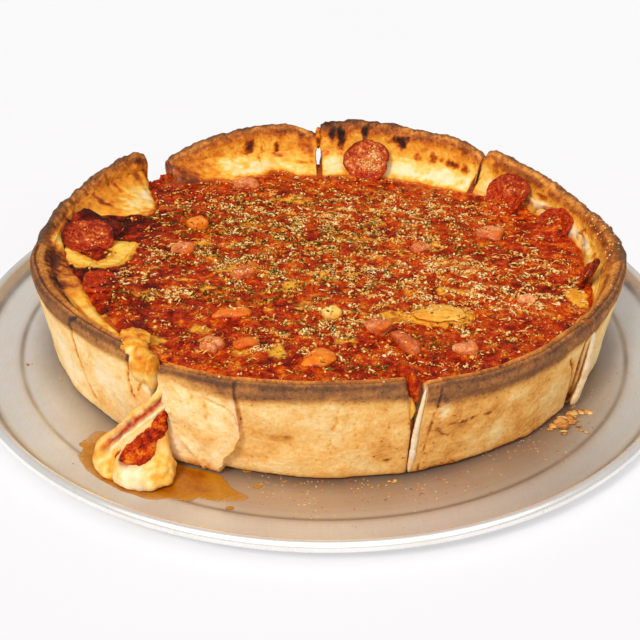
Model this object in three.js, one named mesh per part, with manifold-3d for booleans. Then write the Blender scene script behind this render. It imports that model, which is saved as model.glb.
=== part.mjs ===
// Deep dish pizza in its round aluminium pan, cut into eight slices that keep the whole's shape.
// Millimetres, +Z up, origin at the centre of the pan's underside.

import * as THREE from 'three';
import { mergeVertices } from 'three/addons/utils/BufferGeometryUtils.js';
import Module from 'manifold-3d';

const wasm = await Module();
wasm.setup();

// ---------------------------------------------------------------- driving dimensions

// Pan: a shallow spun tray with a flat base, a rising flange and a rolled bead.
const PAN_RADIUS = 184.4;
const PAN_SHEET = 1.6;
const PAN_CREASE_RADIUS = 158.9;
const PAN_CREASE_STEP = 0.9;
const PAN_FLANGE_RISE = 2.2;
const PAN_BEAD_RADIUS = 2.6;
const PAN_BEAD_HEIGHT = 9.4;
const PAN_SIDES = 60;

// Crust: the wall of a 12 inch pan two inches deep, baked on a thin floor of dough.
const PIZZA_CENTRE = [2.5, 10.1];
const RIM_RADIUS = 150;
const RIM_HEIGHT = 54.5;
const FOOT_RADIUS = 142.9;
const FOOT_HEIGHT = 2;
const FOOT_ROUNDING = 6;
const LIP_WIDTH = 6.4;
const FLOOR_THICKNESS = 7;
const BAND_DEPTH = 11;
const WALL_RIPPLE = 0.7;
const COLUMN_ANGLE = 4.6;

// Filling: cheese on the dough, sauce on the cheese, and a gap of air wherever two pieces meet.
const GAP = 0.35;
const SIDE_GAP = 0.6;
const FILL_LEVEL = 40;
const FILL_SLOPE = [-0.035, -0.068];
const SAUCE_DEPTH = 9;
const SAUCE_EDGE_RADIUS = 126;
const SAUCE_EDGE_FRONT = 8;
const SAUCE_LUMP = 0.7;
const CHEESE_CLIMB = 8.5;
const CHEESE_LIMIT = 51;
const FILLING_SIDES = 60;

// Sprinkles on the sauce.
const CHEESE_CRUMBS = 54;
const HERB_FLAKES = 32;
const CRUMB_SIZE = [5, 2.3, 2];
const HERB_SIZE = [3.2, 2.2, 1.8];
const SPRINKLE_LIFT = 0.6;

// Pepperoni: thin round slices of sausage that cup a little as they bake.
const PEPPERONI_THICKNESS = 2.2;
const PEPPERONI_CUP = 1.2;
const PEPPERONI_SIDES = 16;

const DEGREE = Math.PI / 180;

// Slices anticlockwise from +X. Each has its two cut angles, its share of the gap at each cut at the foot
// and at the rim, the heights from which these gaps open, and its crest at even steps between the cuts.
const SLICES = [
  {
    name: 'crust_slice_1', from: -13, to: 48.5,
    foot: [0.8, 0.7], rim: [0.8, 1.0], flare: [30, 30],
    crest: [53, 53.8, 52, 50, 49.5, 51, 52.5, 53.8],
  },
  {
    name: 'crust_slice_2', from: 48.5, to: 92.5,
    foot: [0.7, 0.9], rim: [1.2, 1.6], flare: [30, 30],
    crest: [51, 55.2, 56, 56.4, 57.6, 58.6, 58, 56.5],
  },
  {
    name: 'crust_slice_3', from: 92.5, to: 137,
    foot: [0.9, 1.6], rim: [1.6, 14], flare: [30, 30],
    crest: [50, 56, 57, 56.4, 54.8, 53, 50.4, 45],
  },
  {
    name: 'crust_slice_4', from: 137, to: 188,
    foot: [1.6, 0.8], rim: [2, 1.2], flare: [30, 30],
    crest: [57, 57.8, 56.2, 54.8, 54.2, 54.4, 54.6, 53],
  },
  {
    name: 'crust_slice_5', from: 188, to: 240,
    foot: [0.8, 3.2], rim: [1.2, 2.6], flare: [30, 30],
    crest: [55, 57.5, 58, 57.5, 56, 56.5, 56.5, 56],
  },
  {
    name: 'crust_slice_6', from: 240, to: 283,
    foot: [3.2, 1.5], rim: [2.6, 3.1], flare: [30, 6],
    crest: [52.5, 53.2, 53.8, 54.4, 55, 55.3, 55.5, 55.7],
  },
  {
    name: 'crust_slice_7', from: 283, to: 322,
    foot: [2.1, 1.0], rim: [7, 1.4], flare: [6, 30],
    crest: [52, 51.8, 51.2, 51.2, 51.5, 51.6, 52, 52.6],
  },
  {
    name: 'crust_slice_8', from: 322, to: 347,
    foot: [1.0, 0.8], rim: [1.4, 0.8], flare: [30, 30],
    crest: [52.8, 52.6, 52.2, 52, 52.2, 52.6, 53, 53.2],
  },
];

// The flap: the first piece of slice 6 stands proud of the wall and ends at a tear that slants at its foot.
const FLAP = { from: 240, tear: 254.4, tearWidth: 1.2, proud: 5.6, slant: 4.4, slantTop: 28 };
// The outer wall swells a little here and there: centre angle, half width in degrees, height in mm.
const SWELLS = [
  [200, 26, 2.6],
  [-14, 16, 1.6],
];
// Dimples in the outer wall: angle, height, radius in degrees and mm, depth.
const DIMPLES = [
  [-98.5, 24, 2.4, 1.4],
  [-93, 26, 2.2, 1.2],
  [-87, 30, 1.2, 1.0],
  [-66, 38, 3.4, 0.9],
  [-60, 38, 2.6, 1.0],
];

// Pepperoni: polar place of the middle about the pizza's axis, height, radius, lean towards the wall.
const PEPPERONI = [
  { name: 'pepperoni_1', angle: 79, out: 128, height: 38.8, radius: 14.4, lean: 45 },
  { name: 'pepperoni_2', angle: 35.5, out: 129, height: 39.6, radius: 14.2, lean: 45 },
  { name: 'pepperoni_3', angle: 19, out: 130, height: 39.4, radius: 13.6, lean: 38 },
  { name: 'pepperoni_4', angle: 180, out: 122.5, height: 48, radius: 13.4, lean: 14 },
  { name: 'pepperoni_5', angle: 207, out: 122, height: 51.2, radius: 10.5, lean: 12 },
  { name: 'pepperoni_6', angle: 345, out: 134, height: 46, radius: 8, lean: 58 },
];

// Diced toppings: place in mm from the pizza's axis, size along, across and up, turn in degrees.
const HAM = { color: 0xd98b76, roughness: 0.45 };
const PEPPER = { color: 0xd9822b, roughness: 0.4 };
const CHEESE_BIT = { color: 0xe9b84a, roughness: 0.4 };
const DICE = [
  { name: 'pepper_dice_1', at: [-72.4, 25.9], size: [11, 10, 8], turn: 20, look: PEPPER },
  { name: 'ham_dice_1', at: [-75.7, -7.8], size: [12, 8, 7], turn: -15, look: HAM },
  { name: 'ham_dice_2', at: [-49.4, 94.6], size: [14, 8, 7], turn: 10, look: HAM },
  { name: 'ham_dice_3', at: [-43.2, -35.1], size: [11, 8, 6], turn: 35, look: HAM },
  { name: 'pepper_dice_2', at: [-45.2, -79.8], size: [17, 7, 6], turn: 12, look: PEPPER },
  { name: 'cheese_dice_1', at: [0.9, -76.2], size: [9, 8, 7], turn: 25, look: CHEESE_BIT },
  { name: 'ham_dice_4', at: [20.7, -88.5], size: [13, 8.5, 8], turn: -40, look: HAM },
  { name: 'ham_strip_1', at: [34, -102.5], size: [17, 6.5, 6], turn: -62, look: HAM },
  { name: 'ham_dice_5', at: [59.3, -106], size: [10, 9, 6], turn: 15, look: HAM },
  { name: 'ham_dice_6', at: [88.9, 29.8], size: [14, 11, 7], turn: -20, look: HAM },
  { name: 'ham_dice_7', at: [48.5, 4.9], size: [10, 7, 6], turn: 40, look: HAM },
  { name: 'ham_dice_8', at: [-51, -112], size: [8, 9, 8], turn: 60, look: HAM },
  { name: 'ham_dice_9', at: [95.2, -53.6], size: [8, 6, 5], turn: 0, look: HAM },
  { name: 'cheese_patch_1', at: [52, -72.2], size: [23, 15, 4], turn: 8, look: CHEESE_BIT },
  { name: 'pepper_dice_3', at: [-5.4, -120], size: [15, 12, 5], turn: 50, look: PEPPER },
  { name: 'pepper_dice_4', at: [-37, -108], size: [12, 7, 5], turn: 30, look: PEPPER },
];

// The spill: cheese that ran out of the cut between slices 5 and 6 and settled on the pan. Its rows go
// from the pan up into the cut: height, angle of the middle, back and front radius, half width.
const SPILL_ROWS = [
  [1.9, -121.8, 147, 171.5, 17],
  [4, -122.1, 147, 173, 20],
  [9, -122.8, 147, 169.4, 20.8],
  [14, -123.1, 147, 165, 18.8],
  [19, -122.9, 146.5, 160.6, 15.2],
  [26, -121.9, 146, 155.8, 10],
  [33, -120.4, 144, 153, 5.8],
  [39, -119.5, 142, 151.4, 3],
  [43, -119.2, 140, 148.6, 1.8],
];
const SPILL_SIDES = 18;
// Sauce carried out on it: angle, radius and height of each lump, then its half sizes.
const SPILL_SAUCE = [
  { at: [-119.9, 152.8, 33], half: [4.4, 3.2, 6.2] },
  { at: [-121, 156.2, 26.4], half: [7, 4.2, 7] },
  { at: [-122.2, 160.6, 20], half: [9.2, 4.8, 6.6] },
  { at: [-123.2, 164.8, 14.6], half: [8.6, 4.4, 5.2] },
];
// The bulge: cheese that swelled over the rim of slice 5 beside that cut.
const BULGE = { at: [-123.6, 147.6, 54.5], half: [6.6, 7.6, 7.4] };
// The open cut between slices 6 and 7, where sauce hangs over the cheese.
const CUT_SAUCE = [
  { at: [-76.4, 142.5, 49.6], half: [3.2, 6.2, 5.4] },
  { at: [-76.4, 134, 49], half: [3.2, 7, 2.4] },
];
const CUT_CHEESE = { at: [-76.6, 142.5, 39.5], half: [2.2, 5, 7] };
// Knife cuts that part the cheese lining too: angle, width of the cut, height of its end.
const LINING_CUTS = [
  [48.5, 1.6, 32],
  [92.5, 2.6, 31.5],
  [137, 7, 36],
];

// ---------------------------------------------------------------- numbers and noise

/** Repeatable random numbers from 0 to 1. */
function seededRandom(seed) {
  let state = seed;
  return () => {
    state = (state * 1664525 + 1013904223) % 4294967296;
    return state / 4294967296;
  };
}

/** Smooth ramp from 0 at start to 1 at end, whichever of the two is larger. */
function smoothRamp(start, end, value) {
  const fraction = THREE.MathUtils.clamp((value - start) / (end - start), 0, 1);
  return fraction * fraction * (3 - 2 * fraction);
}

/** Signed difference of two angles in degrees, from -180 to 180. */
function angleFrom(angle, centre) {
  return THREE.MathUtils.euclideanModulo(angle - centre + 180, 360) - 180;
}

/** Value of an evenly spaced list at a fraction from 0 to 1, with straight lines between its entries. */
function readAlong(values, fraction) {
  const place = THREE.MathUtils.clamp(fraction, 0, 1) * (values.length - 1);
  const index = Math.min(Math.floor(place), values.length - 2);
  return THREE.MathUtils.lerp(values[index], values[index + 1], place - index);
}

/** Slow waves over a surface, from about -1 to 1. */
function waves(u, v) {
  return (Math.sin(u * 1.7 + v * 0.6) + Math.sin(u * 0.9 - v * 1.3 + 2) + Math.sin(u * 2.9 + v * 2.1 + 4)) / 3;
}

// ---------------------------------------------------------------- solids

/** Drops the normals and texture coordinates, shares the vertices and removes empty triangles. */
function closedGeometry(source) {
  source.deleteAttribute('normal');
  source.deleteAttribute('uv');
  const geometry = mergeVertices(source, 1e-3);
  const kept = [];
  for (let i = 0; i < geometry.index.count; i += 3) {
    const corners = [0, 1, 2].map((k) => geometry.index.getX(i + k));
    if (new Set(corners).size === 3) {
      kept.push(...corners);
    }
  }
  geometry.setIndex(kept);
  return geometry;
}

/** Solid for joining and cutting. */
function solidOf(source) {
  const geometry = closedGeometry(source);
  return new wasm.Manifold(new wasm.Mesh({
    numProp: 3,
    vertProperties: new Float32Array(geometry.attributes.position.array),
    triVerts: new Uint32Array(geometry.index.array),
  }));
}

/** Geometry of a joined or cut solid. */
function geometryOf(solid) {
  const { vertProperties, triVerts } = solid.getMesh();
  const geometry = new THREE.BufferGeometry();
  geometry.setAttribute('position', new THREE.BufferAttribute(new Float32Array(vertProperties), 3));
  geometry.setIndex(Array.from(triVerts));
  return geometry;
}

/** The largest piece of a solid, so that a scrap that a cut leaves loose is dropped. */
function largestPiece(solid) {
  const pieces = solid.decompose();
  pieces.sort((a, b) => b.volume() - a.volume());
  return pieces[0];
}

/** Moves every vertex by a function that changes it in place. */
function reshape(geometry, change) {
  const place = geometry.attributes.position;
  const point = new THREE.Vector3();
  for (let i = 0; i < place.count; i += 1) {
    point.fromBufferAttribute(place, i);
    change(point);
    place.setXYZ(i, point.x, point.y, point.z);
  }
  return geometry;
}

/** Body of revolution about Z from [radius, height] pairs that start and end on the axis. */
function turned(profile, sides) {
  const points = profile.map(([radius, height]) => new THREE.Vector2(radius, height));
  return new THREE.LatheGeometry(points, sides).rotateX(Math.PI / 2);
}

/** Ellipsoid at an angle, radius and height, with half sizes along the wall, outwards and up. */
function ellipsoid({ at: [angle, radius, height], half }) {
  const ball = new THREE.SphereGeometry(1, 10, 7).rotateX(Math.PI / 2);
  ball.scale(half[1], half[0], half[2]);
  ball.translate(radius, 0, height);
  ball.rotateZ(angle * DEGREE);
  return solidOf(ball);
}

/** Closed body round Z from a section at each angle that starts and ends at the same points of the axis. */
function swept(sectionAt, sides) {
  const rows = sectionAt(0).length;
  const geometry = turned(sectionAt(0).map((point, row) => [row === 0 || row === rows - 1 ? 0 : 1, row]), sides);
  return reshape(geometry, (point) => {
    const angle = Math.atan2(point.y, point.x);
    const [radius, height] = sectionAt(angle / DEGREE)[Math.round(point.z)];
    point.set(radius * Math.cos(angle), radius * Math.sin(angle), height);
  });
}

/** One solid from several overlapping ones. */
function joined(solids) {
  return solids.reduce((whole, next) => whole.add(next));
}

// ---------------------------------------------------------------- pan

function panGeometry() {
  const beadCentre = PAN_RADIUS - PAN_BEAD_RADIUS;
  const flangeEdge = beadCentre - 9;
  const bead = [];
  for (let angle = -110; angle <= 170; angle += 40) {
    bead.push([
      beadCentre + PAN_BEAD_RADIUS * Math.cos(angle * DEGREE),
      PAN_BEAD_HEIGHT + PAN_BEAD_RADIUS * Math.sin(angle * DEGREE),
    ]);
  }
  return turned([
    [0, 0],
    [PAN_CREASE_RADIUS - 2, 0],
    [PAN_CREASE_RADIUS + 0.6, PAN_CREASE_STEP],
    [flangeEdge, PAN_FLANGE_RISE],
    [beadCentre - 4, PAN_FLANGE_RISE + 1.7],
    ...bead,
    [beadCentre - 4.6, PAN_FLANGE_RISE + 3.7],
    [flangeEdge, PAN_FLANGE_RISE + PAN_SHEET],
    [PAN_CREASE_RADIUS, PAN_CREASE_STEP + PAN_SHEET],
    [PAN_CREASE_RADIUS - 2.8, PAN_SHEET],
    [0, PAN_SHEET],
  ], PAN_SIDES);
}

// ---------------------------------------------------------------- crust

/** Radius of the inner wall at a height, from the floor's corner up to the lip. */
function innerRadius(height) {
  const heights = [FOOT_HEIGHT + FLOOR_THICKNESS, 18, 27, 36, 45, RIM_HEIGHT];
  const insets = [26, 18.5, 15.5, 12.5, 9.6, LIP_WIDTH + 0.8];
  let inset = insets[insets.length - 1];
  for (let i = 0; i < heights.length - 1; i += 1) {
    if (height < heights[i + 1]) {
      const fraction = Math.max(0, (height - heights[i]) / (heights[i + 1] - heights[i]));
      inset = THREE.MathUtils.lerp(insets[i], insets[i + 1], fraction);
      break;
    }
  }
  return RIM_RADIUS - inset;
}

/** How far the outer wall stands out from its plain taper. */
function wallRelief(angle, height) {
  const level = (height - FOOT_HEIGHT) / (RIM_HEIGHT - FOOT_HEIGHT);
  let relief = WALL_RIPPLE * waves(angle * DEGREE * 9, level * 4);
  for (const [centre, width, swell] of SWELLS) {
    relief += swell * smoothRamp(width, 0, Math.abs(angleFrom(angle, centre)));
  }
  for (const [centre, middle, radius, depth] of DIMPLES) {
    const along = angleFrom(angle, centre) / radius;
    const up = (height - middle) / 5;
    relief -= depth * Math.exp(-along * along - up * up);
  }
  const isFlap = angle >= FLAP.from && angle < FLAP.tear;
  return isFlap ? relief + FLAP.proud * (1 - 0.9 * level) : relief;
}

/** Section of the crust at an angle, from the underside of the tip round the wall to the floor's tip. */
function crustSection(slice, angle, margin) {
  const crest = readAlong(slice.crest, (angle - slice.from) / (slice.to - slice.from));
  const outer = (height) => {
    const level = (height - FOOT_HEIGHT) / (RIM_HEIGHT - FOOT_HEIGHT);
    const taper = THREE.MathUtils.lerp(FOOT_RADIUS, RIM_RADIUS, level);
    return taper + wallRelief(angle, height) + margin;
  };
  const foot = outer(FOOT_HEIGHT + FOOT_ROUNDING);
  const band = crest - BAND_DEPTH;
  const lip = RIM_RADIUS + wallRelief(angle, crest);
  const floor = FOOT_HEIGHT + FLOOR_THICKNESS;
  return [
    [0, FOOT_HEIGHT - margin],
    [foot - 2 * FOOT_ROUNDING, FOOT_HEIGHT - margin],
    [foot - FOOT_ROUNDING * 0.45, FOOT_HEIGHT + 0.5 - margin],
    [foot - FOOT_ROUNDING * 0.1, FOOT_HEIGHT + FOOT_ROUNDING * 0.45],
    [outer(FOOT_HEIGHT + 10), FOOT_HEIGHT + 10],
    [outer(22), 22],
    [outer(32), 32],
    [outer(band), band],
    [lip + margin, crest - 3.4],
    [lip - 0.9 + margin, crest - 0.9],
    [lip - 2.9, crest + margin],
    [lip - LIP_WIDTH, crest - 1],
    [innerRadius(crest - 7), crest - 7],
    [innerRadius(36), 36],
    [innerRadius(27), 27],
    [innerRadius(18), 18],
    [innerRadius(floor), floor],
    [0, floor],
  ];
}

/** Angles of a slice's columns: even steps, with a close pair at the flap's tear. */
function columnAngles(slice) {
  const steps = Math.round((slice.to - slice.from) / COLUMN_ANGLE);
  const angles = [];
  for (let i = 0; i <= steps; i += 1) {
    angles.push(slice.from + ((slice.to - slice.from) * i) / steps);
  }
  const tear = [FLAP.tear - FLAP.tearWidth / 2, FLAP.tear + FLAP.tearWidth / 2];
  if (slice.from < tear[0] && slice.to > tear[1]) {
    const apart = angles.filter((angle) => Math.abs(angle - FLAP.tear) > 1.6);
    return [...apart, ...tear].sort((a, b) => a - b);
  }
  return angles;
}

/** How far a column near the tear leans back towards the flap at a height, in degrees. */
function tearLean(angle, height) {
  const near = Math.exp(-(((angle - FLAP.tear) / 6) ** 2));
  return FLAP.slant * near * smoothRamp(FLAP.slantTop, FOOT_HEIGHT, height);
}

/** Point where the slice's two cut faces meet, near the pizza's axis. */
function sliceTip(slice, margin) {
  const [first, last] = [slice.from * DEGREE, slice.to * DEGREE];
  const [reachFirst, reachLast] = slice.foot.map((gap) => gap - margin);
  const turn = Math.sin(last - first);
  return new THREE.Vector2(
    (reachFirst * Math.cos(last) + reachLast * Math.cos(first)) / turn,
    (reachFirst * Math.sin(last) + reachLast * Math.sin(first)) / turn,
  );
}

/** Closed wedge of crust: floor and wall between two cut faces. A margin grows it all round. */
function crustSliceGeometry(slice, margin = 0) {
  const tip = sliceTip(slice, margin);
  const angles = columnAngles(slice);
  const sections = angles.map((angle) => crustSection(slice, angle, margin));
  const positions = [];
  const addPoint = (column, [radius, height]) => {
    const [gapFrom, gapTo] = [0, 1].map((k) => {
      const opening = smoothRamp(slice.flare[k], RIM_HEIGHT, height);
      const gap = THREE.MathUtils.lerp(slice.foot[k], slice.rim[k], opening) - margin;
      return gap / RIM_RADIUS / DEGREE;
    });
    const upright = angles[column] - tearLean(angles[column], height);
    const fraction = (upright - slice.from) / (slice.to - slice.from);
    const angle = THREE.MathUtils.lerp(slice.from + gapFrom, slice.to - gapTo, fraction) * DEGREE;
    const near = 1 - radius / RIM_RADIUS;
    positions.push(tip.x * near + radius * Math.cos(angle), tip.y * near + radius * Math.sin(angle), height);
  };
  sections.forEach((section, column) => section.forEach((point) => addPoint(column, point)));

  const rows = sections[0].length;
  const indices = [];
  for (let column = 0; column < angles.length - 1; column += 1) {
    for (let row = 0; row < rows - 1; row += 1) {
      const [low, high] = [column * rows + row, (column + 1) * rows + row];
      indices.push(low, high, high + 1, low, high + 1, low + 1);
    }
  }
  for (const column of [0, angles.length - 1]) {
    const outline = sections[column].map(([radius, height]) => new THREE.Vector2(radius, height));
    for (const [a, b, c] of THREE.ShapeUtils.triangulateShape(outline, [])) {
      const face = column === 0 ? [a, b, c] : [a, c, b];
      indices.push(...face.map((corner) => corner + column * rows));
    }
  }
  const geometry = new THREE.BufferGeometry();
  geometry.setAttribute('position', new THREE.Float32BufferAttribute(positions, 3));
  geometry.setIndex(indices);
  return geometry;
}

// ---------------------------------------------------------------- filling

/** Level of the filling: it lies deeper at the back than at the front. */
function fillLevel(x, y) {
  return FILL_LEVEL + FILL_SLOPE[0] * x + FILL_SLOPE[1] * y;
}

/** Height of the sauce, with its lumps. */
function sauceHeight(x, y) {
  return fillLevel(x, y) + SAUCE_LUMP * waves(x / 7, y / 7);
}

/** Radius at which the sauce ends on the cheese. */
function sauceEdge(angle) {
  const front = smoothRamp(85, 40, Math.abs(angleFrom(angle, -95)));
  return SAUCE_EDGE_RADIUS + SAUCE_EDGE_FRONT * front + 1.4 * waves(angle * DEGREE * 6, 1);
}

/** Level of the filling at a radius and angle. */
function levelAt(radius, angle) {
  return fillLevel(radius * Math.cos(angle * DEGREE), radius * Math.sin(angle * DEGREE));
}

/** Cheese at an angle: fills the crust's floor and climbs its wall as a lining. */
function cheeseSection(angle) {
  const floor = FOOT_HEIGHT + FLOOR_THICKNESS + GAP;
  const wall = (height) => innerRadius(height) - SIDE_GAP;
  const edge = sauceEdge(angle);
  const level = levelAt(edge, angle);
  const climb = Math.min(level + CHEESE_CLIMB + 1.2 * waves(angle * DEGREE * 5, 0), CHEESE_LIMIT);
  const top = FILL_LEVEL - SAUCE_DEPTH;
  return [
    [0, floor],
    [wall(floor) - 1, floor],
    [wall(18), 18],
    [wall(27), 27],
    [wall((27 + climb) / 2), (27 + climb) / 2],
    [wall(climb), climb],
    [wall(climb) - 1.6, climb - 0.6],
    [edge + 4.2, Math.min(level + 2.4, climb - 1.2)],
    [edge + 1, level - 0.6],
    [edge - 3, level - 5],
    [edge - 9, levelAt(edge - 9, angle) - SAUCE_DEPTH],
    [0, top],
  ];
}

/** Sauce at an angle: a thick layer in the hollow of the cheese with an uneven top. */
function sauceSection(angle) {
  const edge = sauceEdge(angle);
  const level = levelAt(edge, angle);
  const rings = [0.95, 0.87, 0.77, 0.65, 0.5, 0.34, 0.17].map((ring) => {
    const [x, y] = [edge * ring * Math.cos(angle * DEGREE), edge * ring * Math.sin(angle * DEGREE)];
    return [edge * ring, sauceHeight(x, y)];
  });
  return [
    [0, FILL_LEVEL - SAUCE_DEPTH + GAP],
    [edge - 9, levelAt(edge - 9, angle) - SAUCE_DEPTH + GAP],
    [edge - 3 - GAP, level - 5 + GAP],
    [edge + 0.4 - GAP, level - 0.6],
    ...rings,
    [0, sauceHeight(0, 0)],
  ];
}

/** Cheese from the floor to its lining, parted by the knife, with the cheese that shows in the open cut. */
function cheeseLayer() {
  const knives = LINING_CUTS.map(([angle, width, height]) => {
    const [length, depth] = [40, 40];
    const blade = new THREE.BoxGeometry(length, width, depth);
    blade.translate(SAUCE_EDGE_RADIUS + 3.5 + length / 2, 0, height + depth / 2).rotateZ(angle * DEGREE);
    return solidOf(blade);
  });
  const drip = CUT_SAUCE.map(({ at, half }) => ellipsoid({ at, half: half.map((size) => size + GAP) }));
  return solidOf(swept(cheeseSection, FILLING_SIDES))
    .subtract(joined(knives))
    .add(ellipsoid(CUT_CHEESE))
    .subtract(joined(drip));
}

/** Sauce with its sprinkles and the drip that hangs in the open cut. */
function sauceLayer() {
  const layer = solidOf(swept(sauceSection, FILLING_SIDES));
  return joined([layer, ...CUT_SAUCE.map(ellipsoid), ...sprinkles()]);
}

/** Small flattened grain for one sprinkle. */
function sprinkle(size, x, y, random) {
  const grain = new THREE.OctahedronGeometry(0.5);
  const stretch = 0.7 + 0.7 * random();
  grain.scale(size[0] * stretch, size[1], size[2]);
  grain.rotateX((random() - 0.5) * 0.6);
  grain.rotateZ(random() * Math.PI);
  grain.translate(x, y, sauceHeight(x, y) + SPRINKLE_LIFT);
  return solidOf(grain);
}

/** Places for sprinkles: spread evenly over a disc by the golden angle. */
function sprinklePlaces(count, centre, reach, random) {
  const golden = Math.PI * (3 - Math.sqrt(5));
  const places = [];
  for (let i = 0; i < count; i += 1) {
    const radius = reach * Math.sqrt((i + 0.5) / count);
    const turn = i * golden + random() * 0.4;
    places.push([centre[0] + radius * Math.cos(turn), centre[1] + radius * Math.sin(turn)]);
  }
  return places;
}

/** True where a sprinkle stays clear of every topping and of the wall. */
function isBare(x, y) {
  const clearOfDice = DICE.every(({ at, size }) => Math.hypot(x - at[0], y - at[1]) > size[0] / 2 + 4);
  const clearOfSlices = PEPPERONI.every(({ angle, out, radius }) => {
    const [centreX, centreY] = [out * Math.cos(angle * DEGREE), out * Math.sin(angle * DEGREE)];
    return Math.hypot(x - centreX, y - centreY) > radius + 4;
  });
  return clearOfDice && clearOfSlices && Math.hypot(x, y) < 118;
}

/** All sprinkles: pale shreds of hard cheese and dark flakes of herb. */
function sprinkles() {
  const random = seededRandom(7);
  const shreds = sprinklePlaces(CHEESE_CRUMBS, [12, -8], 112, random)
    .filter(([x, y]) => isBare(x, y))
    .map(([x, y]) => sprinkle(CRUMB_SIZE, x, y, random));
  const herbs = sprinklePlaces(HERB_FLAKES, [-30, 15], 84, random)
    .filter(([x, y]) => isBare(x, y))
    .map(([x, y]) => sprinkle(HERB_SIZE, x, y, random));
  return [...shreds, ...herbs];
}

// ---------------------------------------------------------------- toppings

/** Cupped round slice of sausage, leaning on the wall. A margin grows it all round. */
function pepperoniSlice({ angle, out, height, radius, lean }, margin = 0) {
  const half = PEPPERONI_THICKNESS / 2 + margin;
  const reach = radius + margin;
  const geometry = turned([
    [0, -half],
    [reach * 0.6, -half + PEPPERONI_CUP * 0.3],
    [reach - 0.5, -half + PEPPERONI_CUP],
    [reach, PEPPERONI_CUP],
    [reach - 0.6, half + PEPPERONI_CUP],
    [reach * 0.6, half + PEPPERONI_CUP * 0.2],
    [0, half],
  ], PEPPERONI_SIDES);
  reshape(geometry, (point) => {
    const turn = Math.atan2(point.y, point.x);
    const wobble = 1 + 0.035 * Math.sin(3 * turn + angle) + 0.02 * Math.sin(5 * turn);
    point.set(point.x * wobble, point.y * wobble, point.z);
  });
  geometry.rotateY(-lean * DEGREE);
  geometry.rotateZ(angle * DEGREE);
  geometry.translate(out * Math.cos(angle * DEGREE), out * Math.sin(angle * DEGREE), height);
  return solidOf(geometry);
}

/** Rough dice of topping, half sunk in the sauce. A margin grows it all round. */
function dice({ at, size, turn }, seed, margin = 0) {
  const random = seededRandom(seed);
  const geometry = closedGeometry(new THREE.BoxGeometry(1, 1, 1, 2, 2, 2));
  reshape(geometry, (point) => {
    const round = point.length() > 0.6 ? 0.86 : 1.04;
    point.multiplyScalar(round + 0.16 * (random() - 0.5));
    point.set(
      point.x * (size[0] + 2 * margin),
      point.y * (size[1] + 2 * margin),
      point.z * (size[2] + 2 * margin),
    );
  });
  geometry.rotateX(0.16 * (random() - 0.5));
  geometry.rotateZ(turn * DEGREE);
  geometry.translate(at[0], at[1], sauceHeight(at[0], at[1]) + size[2] * 0.12);
  return solidOf(geometry);
}

// ---------------------------------------------------------------- spill

/** Everything below the pan's upper face and a little above it, in the pizza's frame. */
function panBelow(margin) {
  const rise = GAP - margin;
  const depth = -20;
  const below = turned([
    [0, depth],
    [PAN_RADIUS, depth],
    [PAN_RADIUS, PAN_FLANGE_RISE + PAN_SHEET + rise + 1],
    [PAN_CREASE_RADIUS, PAN_CREASE_STEP + PAN_SHEET + rise],
    [PAN_CREASE_RADIUS - 2.8, PAN_SHEET + rise],
    [0, PAN_SHEET + rise],
  ], PAN_SIDES);
  return solidOf(below.translate(-PIZZA_CENTRE[0], -PIZZA_CENTRE[1], 0));
}

/** Cheese that ran out of a cut: an oval at each row, swept from the pan up into the cut. */
function spillCheese(margin = 0) {
  const last = SPILL_ROWS.length - 1;
  const profile = SPILL_ROWS.map((row, index) => [1, index]);
  const geometry = turned([[0, 0], ...profile, [0, last]], SPILL_SIDES);
  reshape(geometry, (point) => {
    const [height, angle, back, front, half] = SPILL_ROWS[Math.round(point.z)];
    const outwards = (back + front) / 2 + point.x * ((front - back) / 2 + margin);
    const along = point.y * (half + margin);
    const rise = point.z === last ? margin : 0;
    point.set(outwards, along, height + rise).applyAxisAngle(new THREE.Vector3(0, 0, 1), angle * DEGREE);
  });
  return solidOf(geometry).subtract(panBelow(margin));
}

/** Sauce carried out on top of that cheese. */
function spillSauce() {
  return joined(SPILL_SAUCE.map(ellipsoid)).subtract(spillCheese(GAP));
}

// ---------------------------------------------------------------- assembly

const CRUST_LOOK = { color: 0xe0b070, roughness: 0.85 };
const CHEESE_LOOK = { color: 0xf0cf80, roughness: 0.5 };
const SAUCE_LOOK = { color: 0xa61c08, roughness: 0.35 };
const PEPPERONI_LOOK = { color: 0xa83218, roughness: 0.4 };
const PAN_LOOK = { color: 0xb8b0a8, roughness: 0.35, metalness: 0.9 };

/** Named mesh with a material of its own. */
function piece(name, geometry, look) {
  const mesh = new THREE.Mesh(geometry, new THREE.MeshStandardMaterial(look));
  mesh.name = name;
  return mesh;
}

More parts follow.
